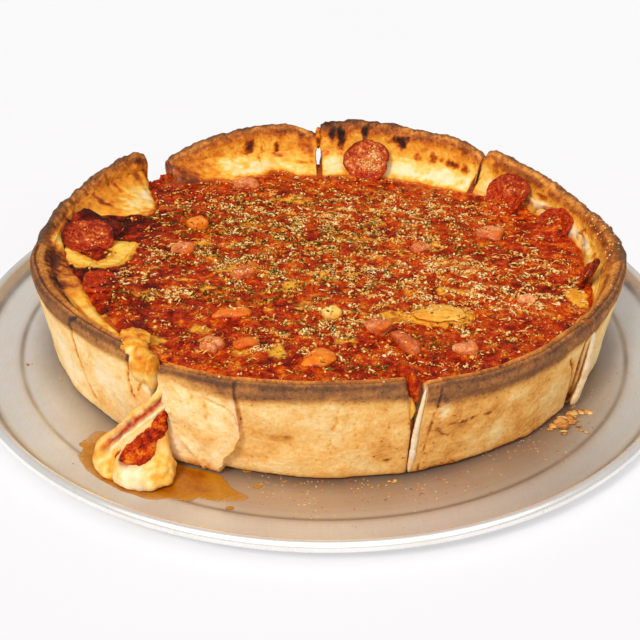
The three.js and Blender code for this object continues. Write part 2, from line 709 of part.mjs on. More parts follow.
function buildPizza() {
  const pizza = new THREE.Group();
  pizza.position.set(PIZZA_CENTRE[0], PIZZA_CENTRE[1], 0);

  for (const slice of SLICES) {
    pizza.add(piece(slice.name, geometryOf(solidOf(crustSliceGeometry(slice))), CRUST_LOOK));
  }

  let cheese = cheeseLayer();
  let sauce = sauceLayer();
  DICE.forEach((topping, index) => {
    pizza.add(piece(topping.name, geometryOf(dice(topping, index + 11)), topping.look));
    sauce = sauce.subtract(dice(topping, index + 11, GAP));
  });
  for (const slice of PEPPERONI) {
    pizza.add(piece(slice.name, geometryOf(pepperoniSlice(slice)), PEPPERONI_LOOK));
    sauce = sauce.subtract(pepperoniSlice(slice, GAP));
    cheese = cheese.subtract(pepperoniSlice(slice, GAP));
  }
  pizza.add(piece('cheese_layer', geometryOf(largestPiece(cheese)), CHEESE_LOOK));
  pizza.add(piece('sauce_layer', geometryOf(largestPiece(sauce)), SAUCE_LOOK));

  const beside = SLICES.filter(({ name }) => ['crust_slice_5', 'crust_slice_6'].includes(name));
  const clearance = joined(beside.map((slice) => solidOf(crustSliceGeometry(slice, GAP))));
  const spill = spillCheese().subtract(clearance);
  const spillTop = spillSauce().subtract(clearance);
  const bulge = ellipsoid(BULGE).subtract(clearance).subtract(solidOf(swept(sauceSection, FILLING_SIDES)));
  pizza.add(piece('cheese_bulge', geometryOf(largestPiece(bulge)), CHEESE_LOOK));
  pizza.add(piece('cheese_spill', geometryOf(largestPiece(spill)), CHEESE_LOOK));
  pizza.add(piece('sauce_spill', geometryOf(largestPiece(spillTop)), SAUCE_LOOK));
  return pizza;
}

const group = new THREE.Group();
group.add(piece('pan', geometryOf(solidOf(panGeometry())), PAN_LOOK));
group.add(buildPizza());

export default group;
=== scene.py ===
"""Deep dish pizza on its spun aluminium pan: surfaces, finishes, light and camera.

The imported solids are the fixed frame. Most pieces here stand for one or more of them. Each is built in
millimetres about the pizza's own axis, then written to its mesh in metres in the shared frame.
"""

import itertools
import logging
import math
from dataclasses import dataclass, field
from enum import Enum
from typing import Callable, Sequence, Union

import bmesh
import bpy
import numpy as np
from mathutils import Matrix, Vector

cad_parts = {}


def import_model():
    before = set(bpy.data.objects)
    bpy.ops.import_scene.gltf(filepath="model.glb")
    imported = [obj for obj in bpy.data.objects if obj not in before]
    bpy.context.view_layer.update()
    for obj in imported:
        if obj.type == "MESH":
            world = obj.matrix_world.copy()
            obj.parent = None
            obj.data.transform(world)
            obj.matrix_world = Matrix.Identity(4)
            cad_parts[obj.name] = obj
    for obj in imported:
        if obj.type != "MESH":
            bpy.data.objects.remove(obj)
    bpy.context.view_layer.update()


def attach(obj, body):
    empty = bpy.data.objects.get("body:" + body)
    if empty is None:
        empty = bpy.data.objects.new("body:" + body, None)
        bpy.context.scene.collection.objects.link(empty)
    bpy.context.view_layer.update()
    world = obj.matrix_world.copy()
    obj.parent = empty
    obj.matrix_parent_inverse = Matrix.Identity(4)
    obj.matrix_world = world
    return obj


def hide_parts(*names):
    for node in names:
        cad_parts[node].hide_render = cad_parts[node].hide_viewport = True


LOG = logging.getLogger("pizza")
BODY = "root"

# ------------------------------------------------------------------ sizes, in millimetres and degrees

METRES = 0.001
PIZZA_CENTRE = np.array([2.5, 10.1, 0.0])

RIM_RADIUS = 150.0
RIM_HEIGHT = 54.5
FOOT_RADIUS = 142.9
FOOT_HEIGHT = 2.0
FOOT_ROUNDING = 6.0
LIP_WIDTH = 6.4
FLOOR_TOP = 9.0
BAND_DEPTH = 11.0
# Heights on the inner wall, and how far it lies inside the rim's radius there.
INNER_WALL = ((9.0, 26.0), (18.0, 18.5), (27.0, 15.5), (36.0, 12.5), (45.0, 9.6), (54.5, 7.2))

FILL_LEVEL = 40.0
FILL_SLOPE = (-0.035, -0.068)
CHEESE_LIMIT = 51.0
# Length of one degree along the rim.
ARC = math.radians(1.0) * RIM_RADIUS
# Radii between which the pan's upper face climbs from its base to its flange.
PAN_CREASE = (156.0, 162.0)
# Distance that stands for out of reach.
FAR = 99.0
# Distance within which the points of a closed pole become one.
POLE_WELD = 0.01
NOISE_SEED = 11

# Radius at which the sauce ends on the cheese, by angle: close to the wall in front, drawn back behind.
SAUCE_EDGE = (
    (-180, 138), (-174, 137), (-167, 135), (-160, 131), (-151, 131), (-143, 132), (-137, 133), (-131, 137),
    (-124, 141.6), (-90, 141.8), (-60, 140.8), (-34, 139.6), (-22, 139), (-16, 136), (-5, 134), (3, 136),
    (8, 138.5), (12, 134), (17, 138), (24, 139), (28, 136), (33, 138.5), (40, 137), (45, 131), (52, 127),
    (60, 126), (70, 124.5), (86, 121), (94, 119), (99, 120), (103, 130), (106, 130), (110, 121),
    (118, 119.5), (124, 125), (131, 127), (134.5, 128), (136.5, 134), (138.5, 138.5), (141, 138),
    (144.8, 127), (148, 118), (151.5, 110.5), (156, 109.5), (160, 112), (163, 121.5), (165, 132),
    (168, 137), (173, 138),
)

Paint = dict[str, np.ndarray]
Colour = tuple[float, float, float]

# Colours from 0 to 1 along the browning of greasy dough and cheese, of grated cheese and of dried herb.
GOLDEN = (
    (0.00, (245, 222, 180)),
    (0.18, (247, 208, 128)),
    (0.34, (243, 184, 68)),
    (0.50, (228, 142, 34)),
    (0.64, (190, 92, 20)),
    (0.78, (122, 54, 20)),
    (0.90, (68, 34, 18)),
    (1.00, (38, 22, 14)),
)
GRATED = ((0.0, (188, 88, 18)), (0.35, (220, 138, 46)), (0.7, (244, 188, 96)), (1.0, (255, 232, 178)))
HERB = ((0.0, (66, 44, 6)), (0.5, (120, 90, 18)), (1.0, (172, 136, 48)))
SAUCE_TONES = (
    (0.00, (58, 5, 0)),
    (0.25, (116, 17, 0)),
    (0.45, (166, 36, 0)),
    (0.60, (196, 56, 0)),
    (0.76, (216, 98, 8)),
    (1.00, (234, 152, 40)),
)


class Slot(Enum):
    """Material slots that the finishes name."""

    PAN = "pan"
    CRUST = "crust"
    CHEESE = "cheese"
    SAUCE = "sauce"
    PEPPERONI = "pepperoni"
    HAM = "ham"
    PEPPER = "pepper"


# ------------------------------------------------------------------ numbers


def ramp(start: float, end: float, value: np.ndarray) -> np.ndarray:
    """Smooth step from 0 at start to 1 at end, whichever of the two is larger.

    Args:
        start: Value that gives 0.
        end: Value that gives 1.
        value: Values to read it at.

    Returns:
        Numbers from 0 to 1.
    """
    part = np.clip((np.asarray(value, float) - start) / (end - start), 0.0, 1.0)
    return part * part * (3.0 - 2.0 * part)


def turn_from(angle: np.ndarray, centre: float) -> np.ndarray:
    """Signed difference of two angles in degrees.

    Args:
        angle: Angles in degrees.
        centre: Angle that they are measured from.

    Returns:
        Differences from -180 to 180.
    """
    return (np.asarray(angle, float) - centre + 180.0) % 360.0 - 180.0


def table_at(value: np.ndarray, table: Sequence[tuple[float, float]]) -> np.ndarray:
    """Reads a table of rising places and their numbers, with straight lines between them."""
    places, numbers = zip(*table)
    return np.interp(value, places, numbers)


def round_table(angle: np.ndarray, table: Sequence[tuple[float, float]]) -> np.ndarray:
    """Value at each angle of a table that goes once round the pizza.

    Args:
        angle: Angles in degrees.
        table: Pairs of angle and value, with angles rising from -180.

    Returns:
        Values with straight lines between the pairs.
    """
    first, number = table[0]
    return table_at(turn_from(angle, 0.0), [*table, (first + 360.0, number)])


def fill_level(x: np.ndarray, y: np.ndarray) -> np.ndarray:
    """Level of the filling, which lies deeper at the back than at the front."""
    return FILL_LEVEL + FILL_SLOPE[0] * x + FILL_SLOPE[1] * y


def waves(u: np.ndarray, v: np.ndarray) -> np.ndarray:
    """Slow waves that the solids carry too, from about -1 to 1."""
    return (np.sin(u * 1.7 + v * 0.6) + np.sin(u * 0.9 - v * 1.3 + 2) + np.sin(u * 2.9 + v * 2.1 + 4)) / 3


def inner_radius(height: np.ndarray) -> np.ndarray:
    """Radius of the crust's inner wall at a height."""
    return RIM_RADIUS - table_at(height, INNER_WALL)


def sauce_edge(angle: np.ndarray) -> np.ndarray:
    """Radius at which the sauce ends on the cheese, at angles in degrees."""
    return round_table(angle, SAUCE_EDGE) + 0.8 * waves(np.radians(angle) * 6, 1.0)


def heading(x: np.ndarray, y: np.ndarray) -> np.ndarray:
    """Angle in degrees in which each place lies from the pizza's axis."""
    return np.degrees(np.arctan2(y, x))


def flat_points(x: np.ndarray, y: np.ndarray) -> np.ndarray:
    """Points at height 0 from places across and along."""
    return np.stack([x, y, 0 * x], axis=-1)


def polar(angle: np.ndarray, radius: np.ndarray, height: np.ndarray) -> np.ndarray:
    """Points from angles in degrees, radii and heights.

    Args:
        angle: Angles about the pizza's axis.
        radius: Distances from the axis.
        height: Heights above the table.

    Returns:
        Array whose last axis is x, y, z.
    """
    angle, radius, height = np.broadcast_arrays(np.radians(angle), radius, height)
    return np.stack([radius * np.cos(angle), radius * np.sin(angle), height], axis=-1)


def turned(x: np.ndarray, y: np.ndarray, turn: np.ndarray) -> tuple[np.ndarray, np.ndarray]:
    """The pair x and y after a turn in radians."""
    return x * np.cos(turn) - y * np.sin(turn), x * np.sin(turn) + y * np.cos(turn)


class Noise:
    """Repeatable noise over points in millimetres."""

    def __init__(self, seed: int) -> None:
        """Draws the tables.

        Args:
            seed: Number that the tables depend on.
        """
        source = np.random.default_rng(seed)
        self.order = source.permutation(256)
        slopes = source.normal(size=(256, 3))
        self.slopes = slopes / np.linalg.norm(slopes, axis=1, keepdims=True)
        self.offsets = source.random((256, 3))
        self.tones = source.random(256)

    def _key(self, cell: np.ndarray) -> np.ndarray:
        """Table entry of each cell of the grid."""
        x, y, z = (cell[:, axis] & 255 for axis in range(3))
        return self.order[(self.order[(self.order[x] + y) & 255] + z) & 255]

    def wave(self, points: np.ndarray, size: Union[float, Sequence[float]]) -> np.ndarray:
        """Soft bumps of one size.

        Args:
            points: Points with x, y, z on their last axis.
            size: Width of a bump, or its widths along x, y and z.

        Returns:
            Numbers from about -1 to 1, one for each point.
        """
        place = points.reshape(-1, 3) / np.asarray(size, float)
        cell = np.floor(place).astype(np.int64)
        part = place - cell
        ease = part**3 * (part * (part * 6 - 15) + 10)
        total = np.zeros(len(place))
        for corner in itertools.product((0, 1), repeat=3):
            slope = self.slopes[self._key(cell + corner)]
            reach = np.einsum("ij,ij->i", slope, part - corner)
            total += reach * np.prod(np.where(corner, ease, 1 - ease), axis=1)
        return (total * 1.6).reshape(points.shape[:-1])

    def rough(
        self, points: np.ndarray, size: Union[float, Sequence[float]], octaves: int = 4, fade: float = 0.5
    ) -> np.ndarray:
        """Bumps with finer and finer bumps on them.

        Args:
            points: Points with x, y, z on their last axis.
            size: Width of the widest bumps.
            octaves: How many sizes there are, each half the one before.
            fade: Height of each size over the one before.

        Returns:
            Numbers from about -1 to 1.
        """
        total = np.zeros(points.shape[:-1])
        weight, whole = 1.0, 0.0
        for octave in range(octaves):
            shifted = points + 17.3 * octave
            total += weight * self.wave(shifted, np.asarray(size, float) / 2**octave)
            whole += weight
            weight *= fade
        return total / whole * 1.3

    def cells(self, points: np.ndarray, size: float) -> tuple[np.ndarray, np.ndarray, np.ndarray]:
        """Scattered seeds, one for each cell of a grid.

        Args:
            points: Points with x, y, z on their last axis.
            size: Mean distance between seeds.

        Returns:
            Distances to the nearest and the next seed in cells, and a tone of the nearest from 0 to 1.
        """
        place = points.reshape(-1, 3) / size
        cell = np.floor(place).astype(np.int64)
        best = np.full(len(place), 9.0)
        second = np.full(len(place), 9.0)
        tone = np.zeros(len(place))
        for step in itertools.product((-1, 0, 1), repeat=3):
            near = cell + step
            key = self._key(near)
            gap = np.linalg.norm(near + self.offsets[key] - place, axis=1)
            closer = gap < best
            second = np.where(closer, best, np.minimum(second, gap))
            tone = np.where(closer, self.tones[key], tone)
            best = np.where(closer, gap, best)
        shape = points.shape[:-1]
        return best.reshape(shape), second.reshape(shape), tone.reshape(shape)


@dataclass(frozen=True)
class Spot:
    """Soft blotch on a wall or on the filling.

    Attributes:
        across: Angle in degrees on a wall, or x on the filling.
        up: Height on a wall, or y on the filling.
        half_across: Half width in millimetres.
        half_up: Half height in millimetres.
        strength: What it adds at its middle.
    """

    across: float
    up: float
    half_across: float
    half_up: float
    strength: float


def spots_at(*rows: tuple[float, float, float, float, float]) -> tuple[Spot, ...]:
    """Blotches from rows of place across and up, half sizes across and up, and strength."""
    return tuple(Spot(*row) for row in rows)


def wall_spots(spots: Sequence[Spot], angle: np.ndarray, height: np.ndarray, rag: np.ndarray) -> np.ndarray:
    """Sum of blotches on a wall.

    Args:
        spots: Blotches placed by angle and height.
        angle: Angles of the points in degrees.
        height: Heights of the points.
        rag: Noise that makes the outlines ragged.

    Returns:
        What the blotches add at each point.
    """
    total = np.zeros(np.broadcast(angle, height).shape)
    for spot in spots:
        along = np.radians(turn_from(angle, spot.across)) * RIM_RADIUS / spot.half_across
        up = (height - spot.up) / spot.half_up
        total += spot.strength * ramp(1.25, 0.55, np.hypot(along, up) + 0.45 * rag)
    return total


def flat_spots(spots: Sequence[Spot], x: np.ndarray, y: np.ndarray, rag: np.ndarray) -> np.ndarray:
    """Sum of blotches on the filling.

    Args:
        spots: Blotches placed by x and y.
        x: Places of the points.
        y: Places of the points.
        rag: Noise that makes the outlines ragged.

    Returns:
        What the blotches add at each point.
    """
    total = np.zeros(np.broadcast(x, y).shape)
    for spot in spots:
        reach = np.hypot((x - spot.across) / spot.half_across, (y - spot.up) / spot.half_up)
        total += spot.strength * ramp(1.3, 0.4, reach + 0.5 * rag)
    return total


@dataclass(frozen=True)
class Trail:
    """Line on a surface: places across and up it, and its half width in millimetres."""

    path: tuple[tuple[float, float], ...]
    half_width: float

    def near(
        self, across: np.ndarray, up: np.ndarray, wander: Union[float, np.ndarray] = 0.0, scale: float = 1.0
    ) -> np.ndarray:
        """How near each point is to the line.

        Args:
            across: Places across the surface.
            up: Places up the surface, in millimetres.
            wander: Sideways shift of the line at each point.
            scale: Millimetres that one step across stands for.

        Returns:
            1 on the line, falling to 0 a few half widths away.
        """
        x = across * scale + wander
        nearest = np.full(np.broadcast(across, up).shape, FAR)
        for start, end in zip(self.path, self.path[1:]):
            first = np.array([start[0] * scale, start[1]])
            step = np.array([end[0] * scale, end[1]]) - first
            part = np.clip(((x - first[0]) * step[0] + (up - first[1]) * step[1]) / (step @ step), 0.0, 1.0)
            gap = np.hypot(x - first[0] - part * step[0], up - first[1] - part * step[1])
            nearest = np.minimum(nearest, gap)
        return np.exp(-((nearest / self.half_width) ** 2))


@dataclass(frozen=True)
class Crack:
    """Line torn in the outer wall: its trail by angle and height, its depth and how dark it is."""

    trail: Trail
    depth: float
    darkening: float


def crack(half_width: float, depth: float, darkening: float, *path: tuple[float, float]) -> Crack:
    """Crack along a path of angle and height."""
    return Crack(Trail(path, half_width), depth, darkening)


# ------------------------------------------------------------------ meshes


def grid_faces(
    columns: int, rows: int, close_columns: bool = False, close_rows: bool = False
) -> np.ndarray:
    """Quads of a grid whose points are stored column by column.

    Args:
        columns: Number of columns.
        rows: Number of points in a column.
        close_columns: Whether the last column joins the first.
        close_rows: Whether the last row joins the first.

    Returns:
        Array of four indices for each face.
    """
    column = np.arange(columns if close_columns else columns - 1)[:, None]
    row = np.arange(rows if close_rows else rows - 1)[None, :]
    column, row = np.broadcast_arrays(column, row)
    beside, above = (column + 1) % columns, (row + 1) % rows
    corners = [column * rows + row, beside * rows + row, beside * rows + above, column * rows + above]
    return np.stack(corners, axis=-1).reshape(-1, 4)


def grid_normals(points: np.ndarray, close_columns: bool = False, close_rows: bool = False) -> np.ndarray:
    """Unit normals of a grid of points.

    Args:
        points: Array of columns, rows and x, y, z.
        close_columns: Whether the last column joins the first.
        close_rows: Whether the last row joins the first.

    Returns:
        Normals of the same shape, turned as the quads of grid_faces are.
    """

    def slope(axis: int, close: bool) -> np.ndarray:
        if close:
            return np.roll(points, -1, axis) - np.roll(points, 1, axis)
        return np.gradient(points, axis=axis)

    normals = np.cross(slope(0, close_columns), slope(1, close_rows))
    return normals / np.maximum(np.linalg.norm(normals, axis=-1, keepdims=True), 1e-9)


@dataclass
class Surface:
    """Mesh in the making, in millimetres about the pizza's axis.

    Attributes:
        points: Array of x, y, z.
        faces: Arrays of three or four indices for each face.
        paint: Numbers for each point by name, which the finishes read.
    """

    points: np.ndarray
    faces: list[np.ndarray]
    paint: Paint = field(default_factory=dict)

    @staticmethod
    def grid(
        points: np.ndarray, paint: Paint, close_columns: bool = False, close_rows: bool = False
    ) -> "Surface":
        """Surface from a grid of points.

        Args:
            points: Array of columns, rows and x, y, z.
            paint: Arrays of columns and rows by name.
            close_columns: Whether the last column joins the first.
            close_rows: Whether the last row joins the first.

        Returns:
            The surface.
        """
        columns, rows = points.shape[:2]
        faces = grid_faces(columns, rows, close_columns, close_rows)
        flat = {name: np.broadcast_to(values, (columns, rows)).ravel() for name, values in paint.items()}
        return Surface(points.reshape(-1, 3), [faces], flat)

    def add(self, other: "Surface") -> "Surface":
        """Joins another surface to this one.

        Args:
            other: Surface that is appended. Paint that one of the two lacks counts as 0 there.

        Returns:
            This surface.
        """
        offset = len(self.points)
        for name in {*self.paint, *other.paint}:
            own = self.paint.get(name, np.zeros(offset))
            extra = other.paint.get(name, np.zeros(len(other.points)))
            self.paint[name] = np.concatenate([own, extra])
        self.points = np.concatenate([self.points, other.points])
        self.faces += [faces + offset for faces in other.faces]
        return self

    def close(self, ring: np.ndarray, middle: np.ndarray, paint: Paint) -> None:
        """Closes an open ring of points with a fan.

        Args:
            ring: Indices of its points in order.
            middle: Point that the fan meets in.
            paint: Numbers of that point by name.
        """
        peak = len(self.points)
        self.add(Surface(middle.reshape(1, 3), [], paint))
        self.faces.append(np.stack([ring, np.roll(ring, -1), np.full(len(ring), peak)], axis=-1))

    def object(
        self, name: str, finish: "Finish", nodes: Sequence[str] = (), weld: float = 0.0
    ) -> None:
        """Makes the object in the shared frame that rides on the pizza's body.

        Args:
            name: Name of the piece.
            finish: Finish that dresses it.
            nodes: Solids that it stands for.
            weld: Distance in millimetres within which points become one.
        """
        mesh = bpy.data.meshes.new(name)
        faces = [face for block in self.faces for face in block.tolist()]
        mesh.from_pydata(((self.points + PIZZA_CENTRE) * METRES).tolist(), [], faces)
        for key, values in self.paint.items():
            layer = mesh.attributes.new(key, "FLOAT", "POINT")
            layer.data.foreach_set("value", np.ascontiguousarray(values, np.float32))
        work = bmesh.new()
        work.from_mesh(mesh)
        if weld:
            bmesh.ops.remove_doubles(work, verts=work.verts, dist=weld * METRES)
        bmesh.ops.recalc_face_normals(work, faces=work.faces)
        work.to_mesh(mesh)
        work.free()
        mesh.validate()
        mesh.shade_smooth()
        mesh.materials.append(finish.material())
        piece = bpy.data.objects.new(name, mesh)
        bpy.context.scene.collection.objects.link(piece)
        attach(piece, BODY)
        if nodes:
            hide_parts(*nodes)
        LOG.info("%s: %d points, %d faces", name, len(mesh.vertices), len(mesh.polygons))


def smooth_path(keys: np.ndarray, counts: Sequence[int]) -> np.ndarray:
    """Smooth curve through key points along the second last axis.

    Args:
        keys: Array whose second last axis is the key and last axis the coordinate.
        counts: Steps from each key to the next.

    Returns:
        Array with one more entry than the steps on that axis.
    """
    before = np.concatenate([keys[..., :1, :], keys[..., :-1, :]], axis=-2)
    after = np.concatenate([keys[..., 1:, :], keys[..., -1:, :]], axis=-2)
    after_next = np.concatenate([after[..., 1:, :], after[..., -1:, :]], axis=-2)
    pieces = []
    for index, count in enumerate(counts):
        part = (np.arange(count) / count)[:, None]
        a, b, c, d = (block[..., index : index + 1, :] for block in (before, keys, after, after_next))
        step_in = np.clip((c - a) / 2, -np.abs(c - b) * 1.5, np.abs(c - b) * 1.5)
        step_out = np.clip((d - b) / 2, -np.abs(c - b) * 1.5, np.abs(c - b) * 1.5)
        cube, square = part**3, part**2
        curve = (2 * cube - 3 * square + 1) * b + (cube - 2 * square + part) * step_in
        pieces.append(curve + (3 * square - 2 * cube) * c + (cube - square) * step_out)
    pieces.append(keys[..., -1:, :])
    return np.concatenate(pieces, axis=-2)


def section_at(
    angle: np.ndarray, keys: Sequence[tuple[np.ndarray, np.ndarray]], counts: Sequence[int]
) -> np.ndarray:
    """Smooth section of something round the pizza's axis, at each angle.

    Args:
        angle: Angles of its columns.
        keys: Radius and height of each key point, as one number or one for each column.
        counts: Steps from each key to the next.

    Returns:
        Array of columns, rows and radius and height.
    """
    rows = [np.stack([radius + 0 * angle, height + 0 * angle], axis=-1) for radius, height in keys]
    return smooth_path(np.stack(rows, axis=1), counts)


def blob(columns: int, rows: int) -> np.ndarray:
    """Unit sphere as a grid of columns and rows, whose end rows all lie on the poles."""
    turn = np.arange(columns)[:, None] * 2 * np.pi / columns
    tilt = np.linspace(-np.pi / 2, np.pi / 2, rows)[None, :]
    x, y = np.cos(turn) * np.cos(tilt), np.sin(turn) * np.cos(tilt)
    return np.stack([x, y, np.sin(tilt) + 0 * turn], axis=-1)


def ribbon(
    noise: Noise,
    path: np.ndarray,
    sizes: np.ndarray,
    paint: Callable[[np.ndarray], Paint],
    roughness: float = 0.22,
    grain: float = 3.0,
) -> Surface:
    """Closed strand that lies on something round the pizza's axis, with its flat side facing outwards.

    Args:
        noise: Noise for its unevenness.
        path: Points along its middle.
        sizes: Half width and half thickness at each point.
        paint: Gives the paint of its points.
        roughness: Share of its size that bumps add.
        grain: Width of the bumps.

    Returns:
        The surface.
    """
    steps = [12] * (len(path) - 1)
    line, size = smooth_path(path, steps), smooth_path(sizes, steps)
    size = size * np.sqrt(np.clip(ramp(0.0, 1.0, np.linspace(0, 6, len(line))), 0.02, 1))[:, None]
    size = size * np.sqrt(np.clip(ramp(0.0, 1.0, np.linspace(6, 0, len(line))), 0.02, 1))[:, None]
    along = np.gradient(line, axis=0)
    out = line * [1.0, 1.0, 0.0]
    side = np.cross(along, out)
    side /= np.linalg.norm(side, axis=1, keepdims=True)
    up = np.cross(side, along)
    up /= np.linalg.norm(up, axis=1, keepdims=True)
    turn = np.arange(24) * 2 * np.pi / 24
    across = side[:, None] * (np.cos(turn)[None, :] * size[:, :1])[..., None]
    ring = across + up[:, None] * (np.sin(turn)[None, :] * size[:, 1:])[..., None]
    points = line[:, None] + ring
    points = points + ring * (roughness * 2 * noise.rough(points, grain, 3))[..., None]
    surface = Surface.grid(points, paint(points), close_rows=True)
    rows = len(turn)
    for column in (0, len(line) - 1):
        edge = column * rows + np.arange(rows)
        own = {name: values[edge[:1]] for name, values in surface.paint.items()}
        surface.close(edge, surface.points[edge].mean(axis=0), own)
    return surface


# ------------------------------------------------------------------ shader nodes

Input = Union[float, int, tuple, "Value", bpy.types.NodeSocket]


class Value:
    """Number socket of a material's nodes that takes part in Python expressions."""

    def __init__(self, graph: "Graph", socket: bpy.types.NodeSocket) -> None:
        """Wraps a socket.

        Args:
            graph: Nodes that it belongs to.
            socket: Output socket that holds a number.
        """
        self.graph = graph
        self.socket = socket

    def _math(self, operation: str, first: Input, second: Input) -> "Value":
        """Adds a Math node and wraps its result."""
        node = self.graph.node("ShaderNodeMath", {"operation": operation}, {0: first, 1: second})
        return Value(self.graph, node.outputs[0])

    def __add__(self, other: Input) -> "Value":
        """Sum with a number or socket."""
        return self._math("ADD", self, other)

    __radd__ = __add__

    def __mul__(self, other: Input) -> "Value":
        """Product with a number or socket."""
        return self._math("MULTIPLY", self, other)

    __rmul__ = __mul__

    def __sub__(self, other: Input) -> "Value":
        """Difference from a number or socket."""
        return self._math("SUBTRACT", self, other)

    def __rsub__(self, other: Input) -> "Value":
        """Difference of a number or socket from this."""
        return self._math("SUBTRACT", other, self)

    def step(self, start: float, end: float, low: float = 0.0, high: float = 1.0) -> "Value":
        """Smooth step of this value.

        Args:
            start: Value that gives low.
            end: Value that gives high.
            low: Result at start.
            high: Result at end.

        Returns:
            The mapped value.
        """
        settings = {"interpolation_type": "SMOOTHSTEP", "clamp": True}
        places = {"Value": self, "From Min": start, "From Max": end, "To Min": low, "To Max": high}
        node = self.graph.node("ShaderNodeMapRange", settings, places)
        return Value(self.graph, node.outputs["Result"])


class Graph:
    """Nodes of one material."""

    def __init__(self, name: str) -> None:
        """Starts an empty material.

        Args:
            name: Name of the material.
        """
        self.material = bpy.data.materials.new(name)
        self.material.use_nodes = True
        self.tree = self.material.node_tree
        self.tree.nodes.clear()
        place = self.node("ShaderNodeTexCoord", {}, {})
        self.place = place.outputs["Object"]

    def node(self, kind: str, settings: dict, places: dict) -> bpy.types.Node:
        """Adds a node.

        Args:
            kind: Type of the node.
            settings: Properties of the node, set first. "stops" fills a ramp with place and colour pairs.
            places: Values or links of its sockets by name or number.

        Returns:
            The node.
        """
        node = self.tree.nodes.new(kind)
        for key, setting in settings.items():
            if key == "stops":
                self._fill(node.color_ramp, setting)
            else:
                setattr(node, key, setting)
        for key, value in places.items():
            socket = node.inputs[key]
            if isinstance(value, Value):
                value = value.socket
            if isinstance(value, bpy.types.NodeSocket):
                self.tree.links.new(value, socket)
            else:
                socket.default_value = value
        return node

    @staticmethod
    def _fill(band: bpy.types.ColorRamp, stops: Sequence[tuple[float, Colour]]) -> None:
        """Sets the stops of a colour ramp."""
        while len(band.elements) < len(stops):
            band.elements.new(1.0)
        for element, (place, colour) in zip(band.elements, stops):
            element.position = place
            element.color = linear(colour)

    def paint(self, name: str) -> Value:
        """Number painted on the mesh under a name."""
        node = self.node("ShaderNodeAttribute", {"attribute_name": name}, {})
        return Value(self, node.outputs["Fac"])

    def noise(
        self, size: float, detail: float, rough: float, stretch: Colour = (1, 1, 1)
    ) -> Value:
        """Noise over the object.

        Args:
            size: Width of its bumps in millimetres.
            detail: How many finer sizes are added.
            rough: How strong the finer sizes are.
            stretch: Factors on x, y and z, above 1 for finer.

        Returns:
            Numbers around 0.5.
        """
        spread = {"Vector": self.place, "Scale": tuple(factor / (size * METRES) for factor in stretch)}
        scaled = self.node("ShaderNodeMapping", {}, spread)
        places = {"Vector": scaled.outputs[0], "Scale": 1.0, "Detail": detail, "Roughness": rough}
        return Value(self, self.node("ShaderNodeTexNoise", {}, places).outputs[0])

    def cells(self, size: float) -> Value:
        """Distance from scattered seeds over the object.

        Args:
            size: Mean distance between seeds in millimetres.

        Returns:
            Distances in cells.
        """
        places = {"Vector": self.place, "Scale": 1.0 / (size * METRES)}
        node = self.node("ShaderNodeTexVoronoi", {}, places)
        return Value(self, node.outputs["Distance"])

    def specks(self, size: float, share: Value) -> tuple[Value, Value]:
        """Small specks scattered over the object.

        Args:
            size: Mean distance between the places that a speck can take, in millimetres.
            share: Share of those places that holds one.

        Returns:
            1 on a speck and 0 off it, and a tone from 0 to 1 that each speck has to itself.
        """
        places = {"Vector": self.place, "Scale": 1.0 / (size * METRES)}
        node = self.node("ShaderNodeTexVoronoi", {}, places)
        parts = self.node("ShaderNodeSeparateColor", {}, {"Color": node.outputs["Color"]})
        chance, tone = Value(self, parts.outputs[0]), Value(self, parts.outputs[1])
        body = Value(self, node.outputs["Distance"]).step(0.46, 0.34)
        return body * (share - chance).step(0.0, 0.03), tone

    def sprinkled(
        self, colour: bpy.types.NodeSocket, name: str, size: float, tones: Sequence[tuple[float, Colour]]
    ) -> tuple[bpy.types.NodeSocket, Value]:
        """Lays specks over a colour, thick where the paint of a name is high.

        Args:
            colour: Colour below.
            name: Name of the paint.
            size: Mean distance between specks in millimetres.
            tones: Colours of the specks.

        Returns:
            The colour with the specks, and 1 on a speck and 0 off it.
        """
        speck, tone = self.specks(size, self.paint(name))
        return self.mix(speck, colour, self.colours(tone, tones)), speck

    def colours(self, factor: Value, stops: Sequence[tuple[float, Colour]]) -> bpy.types.NodeSocket:
        """Colour along a row of stops."""
        return self.node("ShaderNodeValToRGB", {"stops": stops}, {"Fac": factor}).outputs["Color"]

    def mix(self, factor: Input, first: Input, second: Input) -> bpy.types.NodeSocket:
        """Mixes two colours.

        Args:
            factor: Share of the second.
            first: Colour socket or sRGB triple.
            second: Colour socket or sRGB triple.

        Returns:
            Socket of the mixed colour.
        """
        first, second = (linear(side) if isinstance(side, tuple) else side for side in (first, second))
        settings = {"data_type": "RGBA", "clamp_factor": True}
        node = self.node("ShaderNodeMix", settings, {0: factor, 6: first, 7: second})
        return node.outputs[2]

    def sauced(
        self, colour: bpy.types.NodeSocket, share: Value, pulp: Value, fine: Value
    ) -> bpy.types.NodeSocket:
        """Lays sauce over a colour.

        Args:
            colour: Colour below.
            share: How much of it the sauce covers, from 0 to 1.
            pulp: Coarse noise.
            fine: Fine noise.

        Returns:
            The colour with the sauce.
        """
        sauce = self.colours(0.5 + (pulp - 0.5) * 1.3 + (fine - 0.5) * 0.7, SAUCE_TONES)
        return self.mix(share, colour, sauce)

    def bump(self, height: Value, distance: float) -> bpy.types.NodeSocket:
        """Relief too fine for the mesh.

        Args:
            height: Height from 0 to 1.
            distance: Millimetres that a height of 1 stands for.

        Returns:
            Normal socket.
        """
        places = {"Height": height, "Distance": distance * METRES, "Strength": 1.0}
        return self.node("ShaderNodeBump", {}, places).outputs[0]

